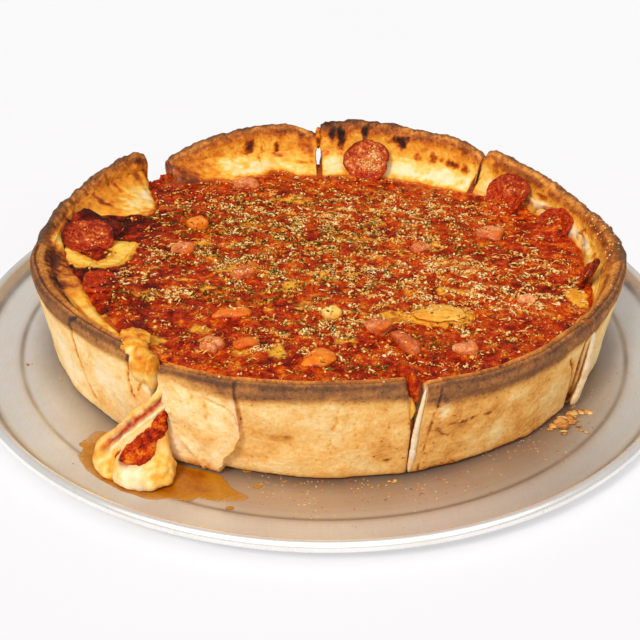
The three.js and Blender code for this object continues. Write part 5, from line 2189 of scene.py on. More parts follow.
@dataclass
class Filling:
    """Sauce, and the cheese that lines the wall, parted at the knife's cuts."""

    noise: Noise
    sauce_field: SauceField
    wall: CrustWall
    sauce_steps: int = 280
    lining_step: float = 0.6
    # Steps between the keys of the lining's section, of which the first six show.
    lining_counts: tuple[int, ...] = (3, 5, 16, 18, 16, 5, 2, 3, 3, 3)
    # Share of the sauce's outline and drop from it of each ring of the skirt, and drop of its floor.
    skirt: tuple = ((1.0, 4.0), (0.93, 8.0))
    floor_drop: float = 9.0
    # Columns of the lining beside each cut, as shares of the cut's half width.
    cut_columns: tuple = (-1.25, -1.02, -0.98, -0.7, 0.0, 0.7, 0.98, 1.02, 1.25)
    # Angle, half width and height up to which the lining closes each cut.
    lining_cuts: tuple = ((48.2, 2.0, 34.0), (92.5, 1.9, 32.5), (137.2, 10.6, 37.6))
    climb: tuple = (
        (-180, 8.5), (-160, 7.5), (-148, -2.0), (-24, -2.0), (-14, 5.0), (0, 8.5), (20, 9.5), (60, 9.0),
        (137, 9.0), (160, 10.0),
    )

    def build_sauce(self, finish: Finish) -> None:
        """Builds the sauce as an even net over a disc, closed by a skirt and a floor.

        Args:
            finish: Finish of the sauce.
        """
        steps = np.linspace(-1, 1, self.sauce_steps)
        u, v = np.meshgrid(steps, steps, indexing="ij")
        longer = np.maximum(np.abs(u), np.abs(v))
        shorter = np.where(np.abs(u) > np.abs(v), v, u)
        part = shorter / np.maximum(longer, 1e-9) * np.pi / 4
        turn = np.where(
            np.abs(u) > np.abs(v),
            np.where(u > 0, part, np.pi - part),
            np.where(v > 0, np.pi / 2 - part, part - np.pi / 2),
        )
        rag = self.noise.rough(polar(np.degrees(turn), 60.0, 0.0), 4.0, 3)
        reach = longer * (sauce_edge(np.degrees(turn)) + 1.2 * rag)
        x, y = reach * np.cos(turn), reach * np.sin(turn)
        height = self.sauce_field.top(x, y) - 1.3 * ramp(0.98, 1.0, longer)
        surface = Surface.grid(np.stack([x, y, height], axis=-1), self.sauce_field.paint(x, y))
        side = self.sauce_steps
        top = np.arange(side * side).reshape(side, side)
        border = np.concatenate([top[:-1, 0], top[-1, :-1], top[:0:-1, -1], top[0, :0:-1]])
        rim = surface.points[border]
        count = len(border)
        for inset, drop in self.skirt:
            ring = rim * [inset, inset, 1.0] - [0.0, 0.0, drop]
            offset = len(surface.points)
            surface.add(Surface(ring, []))
            own = offset + np.arange(count)
            beside = np.roll(own, -1)
            surface.faces.append(np.stack([border, np.roll(border, -1), beside, own], axis=-1))
            border = own
        surface.close(border, np.array([0.0, 0.0, FILL_LEVEL - self.floor_drop]), {})
        surface.object("sauce_top", finish, ["sauce_layer"])

    def lining_columns(self) -> np.ndarray:
        """Angles of the lining's columns, closer together at the knife's cuts."""
        angle = np.arange(-180.0, 180.0, self.lining_step)
        for cut, half, _ in self.lining_cuts:
            width = math.degrees(half / RIM_RADIUS)
            close = np.array(self.cut_columns) * width + cut
            angle = np.concatenate([angle[np.abs(turn_from(angle, cut)) > 1.3 * width], close])
        return np.sort(angle)

    def build_lining(self, finish: Finish) -> None:
        """Builds the cheese from the sauce's edge up the inner wall.

        Args:
            finish: Finish of the cheese.
        """
        angle = self.lining_columns()
        edge = sauce_edge(angle)
        level = fill_level(edge * np.cos(np.radians(angle)), edge * np.sin(np.radians(angle)))
        line = polar(angle, RIM_RADIUS, 0.0)
        ragged = 1.2 * waves(np.radians(angle) * 5, 0.0) + 1.6 * self.noise.rough(line, 7.0, 3)
        rise = round_table(angle, self.climb)
        climb = np.minimum(level + rise + ragged * ramp(0.0, 4.0, rise), CHEESE_LIMIT)
        for cut, half, height in self.lining_cuts:
            inside = np.abs(turn_from(angle, cut)) < math.degrees(half / RIM_RADIUS)
            climb = np.where(inside, np.minimum(climb, height), climb)

        def wall(height: np.ndarray) -> np.ndarray:
            return inner_radius(height) - 0.25

        base = np.minimum(level - 6.0, 28.0)
        half_way = (climb + level) / 2
        rise = climb - level
        gap = np.maximum(wall(half_way) - 1.9 - edge, 0.5)
        keys = [
            (edge - 9.0, level - 7.0),
            (edge - 2.0, level - 1.4),
            (edge + 0.08 * gap, level + np.minimum(0.3, rise)),
            (edge + 0.42 * gap, level + 0.2 * rise),
            (edge + 0.82 * gap, level + 0.5 * rise),
            (wall(climb) - 1.0, climb - 1.4),
            (wall(climb) + 0.1, climb),
            (wall(climb) + 0.7, climb - 0.5),
            (wall(half_way) + 0.5, half_way - 1.0),
            (wall(base) + 0.4, base),
            (edge - 8.0, np.minimum(level - 10.0, 22.0)),
        ]
        counts = self.lining_counts
        section = section_at(angle, keys, counts)
        points = polar(angle[:, None], section[..., 0], section[..., 1])
        row = np.arange(points.shape[1])[None, :]
        shown = (row > 5) & (row < sum(counts[:6]))
        rag = self.noise.rough(points, 5.0, 3)
        nearest, _, tone = self.noise.cells(points, 6.5)
        bubbles = ramp(0.6, 0.1, nearest) * (tone > 0.3)
        out = np.where(shown, 0.36 * rag + 0.7 * bubbles, 0.0)
        normals = grid_normals(points, close_columns=True)
        inward_up = np.array([0, 0, 1.0]) - polar(angle[:, None], 1.0, 0.0)
        upward = np.sign(np.sum(normals * inward_up, axis=-1))
        near_edge = np.where(row > sum(counts[:5]), 0.4, 1.0)
        points = points + normals * (upward * out * near_edge)[..., None]
        crest = self.wall.crest_over(angle)[:, None]
        bake = self.wall.tones.bake(angle[:, None], section[..., 0], section[..., 1], crest, points)
        for cut, half, _ in self.lining_cuts:
            away = np.abs(turn_from(angle, cut))[:, None] / math.degrees(half / RIM_RADIUS)
            bake = np.maximum(bake, 0.74 * ramp(1.5, 1.05, away + 0.2 * rag))
        wet = {"bake": bake, "soak": 0.75 * ramp(0.9, -0.4, section[..., 0] - edge[:, None] + 0.8 * rag)}
        surface = Surface.grid(points, wet, close_columns=True, close_rows=True)
        surface.object("cheese_lining", finish, ["cheese_layer"])


@dataclass
class Lump:
    """Lump at an angle, radius and height, with half sizes along the wall, out and up."""

    at: tuple[float, float, float]
    half: tuple[float, float, float]
    columns: int = 48
    rows: int = 30
    roughness: float = 0.5
    grain: float = 3.0

    def surface(self, noise: Noise, paint: Callable[[np.ndarray], Paint]) -> Surface:
        """Builds the lump.

        Args:
            noise: Noise for its bumps.
            paint: Gives the paint of its points.

        Returns:
            The surface, with its poles still open to welding.
        """
        ball = blob(self.columns, self.rows)
        bumps = noise.rough(ball * self.half + np.array(self.at), self.grain, 4)
        half = np.array([self.half[1], self.half[0], self.half[2]])
        grown = ball * (half + self.roughness * bumps[..., None])
        x, y = turned(grown[..., 0] + self.at[1], grown[..., 1], math.radians(self.at[0]))
        points = np.stack([x, y, grown[..., 2] + self.at[2]], axis=-1)
        return Surface.grid(points, paint(points), close_columns=True)


def heap(lumps: Sequence[Lump], noise: Noise, paint: Callable[[np.ndarray], Paint]) -> Surface:
    """Joins lumps into one surface.

    Args:
        lumps: The lumps.
        noise: Noise for their bumps.
        paint: Gives the paint of their points.

    Returns:
        The surface, with its poles still open to welding.
    """
    whole = lumps[0].surface(noise, paint)
    for lump in lumps[1:]:
        whole.add(lump.surface(noise, paint))
    return whole


@dataclass
class CutFilling:
    """What shows in the cuts: sauce over cheese in front, scraps behind, and torn strips of pale dough."""

    noise: Noise
    drips: tuple = (
        Lump((-76.4, 143.2, 49.4), (3.0, 6.0, 5.6), roughness=0.7, grain=2.6),
        Lump((-76.4, 134.0, 49.6), (3.4, 8.0, 3.0), roughness=0.7, grain=2.6),
        Lump((-76.2, 146.0, 45.6), (1.6, 2.6, 3.2), roughness=0.4, grain=2.2),
    )
    cheese: tuple = (
        Lump((-76.8, 142.6, 39.5), (2.4, 5.6, 7.0), roughness=0.5, grain=3.4),
        Lump((-76.4, 139.0, 24.0), (2.2, 5.0, 12.0), roughness=0.4, grain=4.0),
    )
    scraps: tuple = (
        Lump((134.2, 140.5, 36.6), (4.6, 3.4, 3.4), roughness=1.6, grain=2.2),
        Lump((137.2, 140.5, 35.4), (4.6, 4.0, 3.2), roughness=1.5, grain=2.2),
        Lump((140.0, 140.5, 36.0), (3.6, 3.2, 3.4), roughness=1.5, grain=2.2),
        Lump((135.6, 141.5, 38.4), (1.6, 1.6, 2.2), roughness=0.9, grain=1.6),
    )
    # Lumps that close the slits behind; the one at 48.5 degrees is painted near black as the shade deep in
    # its slit.
    plugs: tuple = (
        Lump((92.5, 144.0, 47.6), (2.4, 4.4, 7.0), roughness=0.6, grain=2.4),
        Lump((48.5, 144.2, 38.0), (2.0, 1.6, 11.0), roughness=0.4, grain=2.4),
    )
    # Angle, distance, height, half width and half thickness along each torn strip of dough.
    strips: tuple = (
        (
            (-74.9, 149.2, 51.0, 0.6, 0.6), (-75.2, 148.6, 44.0, 0.9, 0.8), (-75.8, 147.0, 28.5, 1.3, 1.0),
            (-76.0, 145.0, 14.0, 1.3, 1.0), (-76.2, 143.2, 3.8, 1.2, 0.9),
        ),
        (
            (-35.4, 148.4, 47.0, 1.4, 0.6), (-35.6, 148.4, 33.0, 2.6, 1.0), (-35.8, 147.4, 19.0, 3.2, 1.2),
            (-36.6, 146.2, 9.0, 3.8, 1.4), (-37.6, 145.0, 3.8, 3.8, 1.3),
        ),
    )

    def build(self, sauce: Finish, cheese: Finish, dough: Finish) -> None:
        """Builds the pieces.

        Args:
            sauce: Finish of the sauce.
            cheese: Finish of the cheese.
            dough: Finish of the crust.
        """

        def wet(points: np.ndarray) -> Paint:
            rough = self.noise.rough(points, 5.0, 3)
            return {"melt": 0.1 + 0.2 * rough, "tone": 0.5 + 0.15 * rough}

        def scorched(points: np.ndarray) -> Paint:
            rough = self.noise.rough(points, 4.0, 3)
            return {"melt": 0.2 + 0.4 * rough, "burn": 0.3 + 0.5 * rough, "tone": 0.5 + 0.2 * rough}

        # Cheese painted darker below 34 mm, as the shade deep in the front cut.
        def melted(points: np.ndarray) -> Paint:
            rough = self.noise.rough(points, 5.0, 3)
            return {"bake": 0.36 + 0.1 * rough + 0.3 * ramp(34.0, 28.0, points[..., 2])}

        # Browned, and painted darker below 44 mm as the shade deep in the slits.
        def browned(points: np.ndarray) -> Paint:
            rough = self.noise.rough(points, 4.0, 3)
            return {"bake": 0.6 + 0.3 * rough + 0.3 * ramp(44.0, 40.0, points[..., 2])}

        def torn(points: np.ndarray) -> Paint:
            rough = self.noise.rough(points, 4.0, 3)
            return {"bake": 0.34 + 0.3 * rough, "raw": np.clip(0.55 + 1.1 * rough, 0, 0.85)}

        for name, lumps, paint, finish, node in (
            ("cut_drip", self.drips, wet, sauce, "sauce_layer"),
            ("gap_scraps", self.scraps, scorched, sauce, "sauce_layer"),
            ("cut_cheese", self.cheese, melted, cheese, "cheese_layer"),
            ("slit_plugs", self.plugs, browned, cheese, "cheese_layer"),
        ):
            heap(lumps, self.noise, paint).object(name, finish, [node], weld=POLE_WELD)
        for name, strip in zip(("torn_strip_front", "torn_strip_right"), self.strips):
            keys = np.array(strip)
            path = polar(keys[:, 0], keys[:, 1], keys[:, 2])
            ribbon(self.noise, path, keys[:, 3:], torn, 0.18, 7.0).object(name, dough)


# ------------------------------------------------------------------ toppings

HAM = CookedHam()
PEPPER = RoastedPepper()
CHEESE = MeltedCheese()

TOPPINGS = (
    Topping("pepper_dice_1", (-72.4, 25.9), (11, 10, 8), 20, PEPPER, dusted=0.0, tone=0.56),
    Topping("ham_dice_1", (-75.7, -7.8), (12, 8, 7), -15, HAM, dusted=0.4),
    Topping("ham_dice_2", (-49.4, 94.6), (14, 8, 7), 10, HAM, dusted=0.1, tone=0.6),
    Topping("ham_dice_3", (-43.2, -35.1), (11, 8, 6), 35, HAM, dusted=0.5, tone=0.4),
    Topping("pepper_dice_2", (-45.2, -79.8), (18, 8, 5.4), 12, PEPPER, 2.4, 0.04, 0.15, 0.42),
    Topping("cheese_dice_1", (0.9, -76.2), (9, 8, 7), 25, CHEESE, 2.8, 0.06, 0.3, 0.3),
    Topping("ham_dice_4", (20.7, -88.5), (13, 8.5, 8), -40, HAM, dusted=0.15),
    Topping("ham_strip_1", (34, -102.5), (17, 6.5, 6), -62, HAM, dusted=0.0, tone=0.36),
    Topping("ham_dice_5", (59.3, -106), (10, 9, 6), 15, HAM, dusted=0.3, tone=0.62),
    Topping("ham_dice_6", (88.9, 29.8), (14, 11, 7), -20, HAM, dusted=0.3, tone=0.58),
    Topping("ham_dice_7", (48.5, 4.9), (10, 7, 6), 40, HAM, 2.6, dusted=0.6),
    Topping("ham_dice_8", (-52, -112), (8, 9, 8), 60, HAM, dusted=0.1, tone=0.6),
    Topping("ham_dice_9", (95.2, -53.6), (8, 6, 5), 0, HAM, 2.6, dusted=0.5, tone=0.7),
    Topping("cheese_patch_1", (52, -72.2), (24, 16, 3.4), 8, CHEESE, 2.0, 0.3, 0.2, 0.4),
    Topping("pepper_dice_3", (-5.4, -120), (15, 12, 5), 50, PEPPER, 2.6, 0.06, 0.1, 0.5),
    Topping("pepper_dice_4", (-37, -108), (12, 7, 5), 30, PEPPER, 2.4, 0.02, 0.1, 0.4),
)


@dataclass
class DicedToppings:
    """Dice of ham, pepper and cheese, half sunk in the sauce."""

    noise: Noise
    sauce_field: SauceField
    columns: int = 40
    rows: int = 26

    def build(self) -> None:
        """Builds every dice as its own piece."""
        for index, topping in enumerate(TOPPINGS):
            self.build_dice(topping, index)

    def build_dice(self, topping: Topping, index: int) -> None:
        """Builds one dice, soft at its edges and bitten into by the sauce.

        Args:
            topping: Its place, size and finish.
            index: Its number in the row, which makes each one differ.
        """
        ball = blob(self.columns, self.rows)
        power = topping.squareness
        body = ball / ((np.abs(ball) ** power).sum(axis=-1, keepdims=True)) ** (1 / power)
        slant = 0.22 * math.sin(index * 2.4)
        skew = [slant * body[..., 2], 0.16 * body[..., 0] * body[..., 1], 0.14 * body[..., 0]]
        body = body + np.stack(skew, axis=-1)
        points = body * np.array(topping.size) / 2
        seeded = points + 40.0 * index
        bulk = self.noise.rough(seeded, 7.0, 3)
        bumps = self.noise.rough(seeded, 2.4, 3)
        points = points * (1.04 + 0.2 * bulk[..., None]) + ball * (0.5 * bumps)[..., None]
        edge = ramp(1.15, 1.45, np.linalg.norm(body, axis=-1))
        x, y = turned(points[..., 0], points[..., 1], math.radians(topping.turn))
        slope = FILL_SLOPE[0] * x + FILL_SLOPE[1] * y
        level = fill_level(*topping.at) + 0.7 * waves(topping.at[0] / 7, topping.at[1] / 7)
        z = points[..., 2] + level + topping.lift * topping.size[2] + slope + 0.5
        placed = np.stack([x + topping.at[0], y + topping.at[1], z], axis=-1)
        above = z - self.sauce_field.top(placed[..., 0], placed[..., 1])
        paint = {
            "tone": topping.tone + 0.24 * bulk,
            "edge": 0.7 * edge + 0.3 * ramp(2.0, 0.5, above),
            "bake": topping.tone + 0.14 * bulk + 0.2 * ramp(1.2, 0.2, above),
            "soak": 0.85 * ramp(1.3, 0.1, above + 0.6 * bumps),
            "grated": topping.dusted * ramp(0.3, 0.8, ball[..., 2]),
        }
        surface = Surface.grid(placed, paint, close_columns=True)
        name = topping.node.replace("_", "_piece_", 1)
        surface.object(name, topping.finish, [topping.node], weld=POLE_WELD)


@dataclass(frozen=True)
class PepperoniSlice:
    """One slice of sausage.

    Attributes:
        number: Its number.
        angle: Angle of its middle round the pizza.
        out: Distance of its middle from the axis.
        height: Height of its middle.
        radius: Its radius.
        lean: How far it leans back against the wall, in degrees.
        soak: How much of its lower part the sauce covers, from -1 for none to 1 for all.
        char: How dark its edge is.
        grated: Share of grated cheese on it.
        tone: How pale the meat is.
        facing: How far the direction in which it leans is turned from the wall, in degrees.
    """

    number: int
    angle: float
    out: float
    height: float
    radius: float
    lean: float
    soak: float
    char: float
    grated: float
    tone: float
    facing: float = 0.0


@dataclass
class Pepperoni:
    """Round slices of sausage that cup and blister."""

    noise: Noise
    thickness: float = 2.2
    cup: float = 1.2
    sides: int = 88
    slices: tuple = (
        PepperoniSlice(1, 79, 128, 38.8, 14.4, 45, -0.5, 0.9, 1.3, 0.62),
        PepperoniSlice(2, 35.5, 129.6, 38.2, 14.2, 46, 0.15, 0.6, 0.2, 0.48),
        PepperoniSlice(3, 16.5, 131.0, 35.4, 13.6, 42, 1.3, 0.3, 0.08, 0.44),
        PepperoniSlice(4, 181, 126.5, 47.6, 13.6, 22, -0.3, 1.0, 0.12, 0.42, -68),
        PepperoniSlice(5, 207, 122, 49.4, 10.5, 8, 1.6, 0.2, 0.06, 0.5),
        PepperoniSlice(6, 345, 134.6, 45.6, 8, 62, -0.3, 0.8, 0.1, 0.36),
    )

    def profile(self, reach: float) -> np.ndarray:
        """Section of a slice from the middle of its underside round the rim to the middle of its top.

        Args:
            reach: Radius of the slice.

        Returns:
            Array of radius and height.
        """
        half = self.thickness / 2
        keys = np.array(
            [
                (0.01, -half), (reach * 0.35, -half + 0.05), (reach * 0.7, -half + self.cup * 0.4),
                (reach - 0.6, -half + self.cup), (reach, self.cup), (reach - 0.5, half + self.cup),
                (reach - 2.0, half + self.cup * 0.75), (reach * 0.7, half + self.cup * 0.3),
                (reach * 0.35, half + 0.05), (0.01, half),
            ]
        )
        return smooth_path(keys, [2, 2, 2, 2, 3, 3, 8, 10, 10])

    def build(self, finish: Finish) -> None:
        """Builds every slice as its own piece.

        Args:
            finish: Finish of the sausage.
        """
        for piece in self.slices:
            self.build_slice(piece, finish)

    def build_slice(self, piece: PepperoniSlice, finish: Finish) -> None:
        """Builds one slice, cupped and ragged, where it leans on the wall.

        Args:
            piece: Its place, lean and look.
            finish: Finish of the sausage.
        """
        reach = piece.radius
        profile = self.profile(reach)
        turn = np.arange(self.sides)[:, None] * 2 * np.pi / self.sides
        radius, height = profile[None, :, 0], profile[None, :, 1]
        seed = piece.number * 31.0
        rim = radius / reach
        outline = np.stack([reach * np.cos(turn), reach * np.sin(turn), seed + 0 * turn], axis=-1)
        ragged = self.noise.rough(outline, 6.0, 3)
        wobble = 1 + 0.04 * np.sin(3 * turn + piece.angle) + 0.03 * np.sin(5 * turn) + 0.07 * ragged
        x, y = radius * np.cos(turn) * wobble, radius * np.sin(turn) * wobble
        flat = np.stack(np.broadcast_arrays(x, y, 0 * x), axis=-1) + seed
        upper = ramp(-0.4, 0.6, height)
        bumps = self.noise.rough(flat, 5.0, 4) * 1.1 + self.noise.wave(flat, 1.8) * 0.3
        curl = 0.9 * np.sin(2 * turn + seed) * rim**3
        points = np.stack(np.broadcast_arrays(x, y, height + bumps * upper + curl), axis=-1)
        lean, swing = math.radians(piece.lean), math.radians(piece.angle + piece.facing)
        tilt = Matrix.Rotation(swing, 3, "Z") @ Matrix.Rotation(-lean, 3, "Y")
        place = polar(piece.angle, piece.out, piece.height)
        placed = points @ np.array(tilt).T + place
        rag = self.noise.rough(flat, 4.0, 3)
        mottle = self.noise.rough(flat, 6.0, 3)
        dusting = np.hypot(x, y + 0.22 * reach) / reach
        paint = {
            "tone": piece.tone + 0.34 * mottle + 0.14 * ramp(0.6, 0.0, rim) - 0.14 * ramp(0.7, 0.95, rim),
            "edge": ramp(0.8, 1.0, rim) * piece.char + 0.2 * ramp(0.2, 0.6, rag),
            "soak": ramp(0.35, -0.35, x / reach - piece.soak + 0.35 * rag),
            "grated": piece.grated * (0.7 + 1.6 * np.clip(mottle, -0.3, 1)) * ramp(1.0, 0.3, dusting),
        }
        surface = Surface.grid(placed, paint, close_columns=True)
        surface.object(f"pepperoni_slice_{piece.number}", finish, [f"pepperoni_{piece.number}"], weld=0.03)


# ------------------------------------------------------------------ sprinkles


def gratings(source: np.random.Generator, count: int) -> tuple[np.ndarray, np.ndarray]:
    """Corners of uneven crumbs at unit size, and the faces that all share."""
    corners = np.array([(1, 0, 0), (-1, 0, 0), (0, 1, 0), (0, -1, 0), (0, 0, 1), (0, 0, -1)], float) * 0.5
    stretch = 0.65 + 0.8 * source.random((count, 1, 3))
    shape = corners[None] * stretch * [1.25, 1.0, 0.75] + source.normal(size=(count, 6, 3)) * 0.07
    faces = [(0, 2, 4), (2, 1, 4), (1, 3, 4), (3, 0, 4), (2, 0, 5), (1, 2, 5), (3, 1, 5), (0, 3, 5)]
    return shape, np.array(faces)


def shreds(source: np.random.Generator, count: int) -> tuple[np.ndarray, np.ndarray]:
    """Corners of bent shreds at unit size, and the faces that all share."""
    steps = np.linspace(-0.5, 0.5, 4)
    bend = source.normal(size=(count, 1)) * 0.9
    middle_y = bend * (steps**2 - 0.12)[None, :]
    middle_z = np.abs(source.normal(size=(count, 1))) * 0.25 * (0.25 - steps**2)[None, :]
    width = 0.085 + 0.05 * source.random((count, 1))
    taper = np.array([0.4, 1.0, 1.0, 0.4])[None, :]
    corners = []
    for dy, dz in ((1, 0), (0, 0.7), (-1, 0), (0, -0.7)):
        place = (steps[None, :], middle_y + dy * width * taper, middle_z + dz * width * taper)
        corners.append(np.stack(np.broadcast_arrays(*place), axis=-1))
    shape = np.stack(corners, axis=2).reshape(count, 16, 3)
    faces = []
    for step, side in itertools.product(range(3), range(4)):
        a, b = step * 4 + side, step * 4 + (side + 1) % 4
        faces += [(a, b, b + 4), (a, b + 4, a + 4)]
    faces += [(0, 2, 1), (0, 3, 2), (12, 13, 14), (12, 14, 15)]
    return shape, np.array(faces)


def leaves(source: np.random.Generator, count: int) -> tuple[np.ndarray, np.ndarray]:
    """Corners of curled leaf scraps at unit size, and the faces that all share."""
    outline = np.array([(0.5, 0.0), (0.2, 0.24), (-0.25, 0.2), (-0.5, 0.0), (-0.2, -0.22), (0.25, -0.2)])
    outline = outline[None] * (0.75 + 0.5 * source.random((count, 6, 1)))
    curl = source.normal(size=(count, 1)) * 0.9
    bend = curl * outline[..., 1] ** 2 * 2.0
    bend = bend + source.normal(size=(count, 1)) * 0.4 * outline[..., 0] ** 2
    rim = np.concatenate([outline, bend[..., None]], axis=-1)
    middle = np.array([(0.0, 0.0, 0.08), (0.0, 0.0, -0.08)])[None] + np.zeros((count, 1, 1))
    faces = [(side, (side + 1) % 6, 6) for side in range(6)]
    faces += [((side + 1) % 6, side, 7) for side in range(6)]
    return np.concatenate([rim, middle], axis=1), np.array(faces)


@dataclass(frozen=True)
class GrainRule:
    """How one kind is scattered.

    Attributes:
        kind: The kind.
        tries: How many are tried.
        sizes: Smallest and largest size.
        finish: Finish that dresses them.
        seed: Number that its random draws depend on.
        shapes: Gives the corners of all grains and the faces that they share.
        tilt: How far they tip out of the flat, in radians.
        lift: Height over what they lie on.
        tones: Least tone, spread of the tones and what a thick layer adds.
    """

    kind: Grain
    tries: int
    sizes: tuple[float, float]
    finish: Finish
    seed: int
    shapes: Callable[[np.random.Generator, int], tuple[np.ndarray, np.ndarray]]
    tilt: float
    lift: float
    tones: tuple[float, float, float]


GRAIN_RULES = (
    GrainRule(Grain.GRATED, 38000, (0.6, 2.0), GratedCheese(), 40, gratings, 0.3, 0.1, (0.04, 0.7, 0.3)),
    GrainRule(Grain.SHREDS, 9000, (1.6, 4.4), GratedCheese(), 41, shreds, 0.3, 0.35, (0.4, 0.6, 0.0)),
    GrainRule(Grain.HERBS, 26000, (1.0, 2.6), DriedHerb(), 42, leaves, 0.5, 0.35, (0.0, 1.0, 0.0)),
)


@dataclass
class Sprinkles:
    """Grated cheese, shreds and herbs on the sauce and toppings."""

    sauce_field: SauceField
    reach: float = 0.985

    def places(self, rule: GrainRule, source: np.random.Generator) -> np.ndarray:
        """Draws where the grains of a kind lie.

        Args:
            rule: How the kind is scattered.
            source: Random numbers.

        Returns:
            Array of x and y.
        """
        turn = source.random(rule.tries) * 2 * np.pi
        edge = sauce_edge(np.degrees(turn)) * self.reach
        out = np.sqrt(source.random(rule.tries)) * edge
        x, y = out * np.cos(turn), out * np.sin(turn)
        kept = source.random(rule.tries) < self.sauce_field.density(rule.kind, x, y)
        return np.stack([x[kept], y[kept]], axis=-1)

    def ground(self, x: np.ndarray, y: np.ndarray) -> np.ndarray:
        """Height of the sauce or of the topping that lies there."""
        height = self.sauce_field.top(x, y)
        level = fill_level(x, y)
        for topping in TOPPINGS:
            height = np.maximum(height, topping.height_over(x, y, level))
        return height

    def build(self, rule: GrainRule) -> None:
        """Builds all grains of a kind as one mesh.

        Args:
            rule: How the kind is scattered.
        """
        source = np.random.default_rng(rule.seed)
        places = self.places(rule, source)
        count = len(places)
        height = self.ground(places[:, 0], places[:, 1])
        size = rule.sizes[0] + (rule.sizes[1] - rule.sizes[0]) * source.random(count) ** 2.2
        shape, faces = rule.shapes(source, count)
        shape = shape * size[:, None, None]
        swing = source.random(count) * 2 * np.pi
        tilt = source.normal(size=count) * rule.tilt
        x, y, z = (shape[..., axis] for axis in range(3))
        y, z = turned(y, z, tilt[:, None])
        x, y = turned(x, y, swing[:, None])
        z = z + (height + (0.12 * size + rule.lift))[:, None]
        points = np.stack([x + places[:, :1], y + places[:, 1:], z], axis=-1)
        corners = shape.shape[1]
        offsets = (np.arange(count) * corners)[:, None, None]
        least, spread, massed = rule.tones
        thick = self.sauce_field.density(rule.kind, places[:, 0], places[:, 1])
        tone = least + spread * source.random(count) + massed * thick
        paint = {"tone": np.repeat(tone, corners)}
        surface = Surface(points.reshape(-1, 3), [(faces[None] + offsets).reshape(-1, 3)], paint)
        surface.object(rule.kind.value, rule.finish, ["sauce_layer"])


# ------------------------------------------------------------------ spill


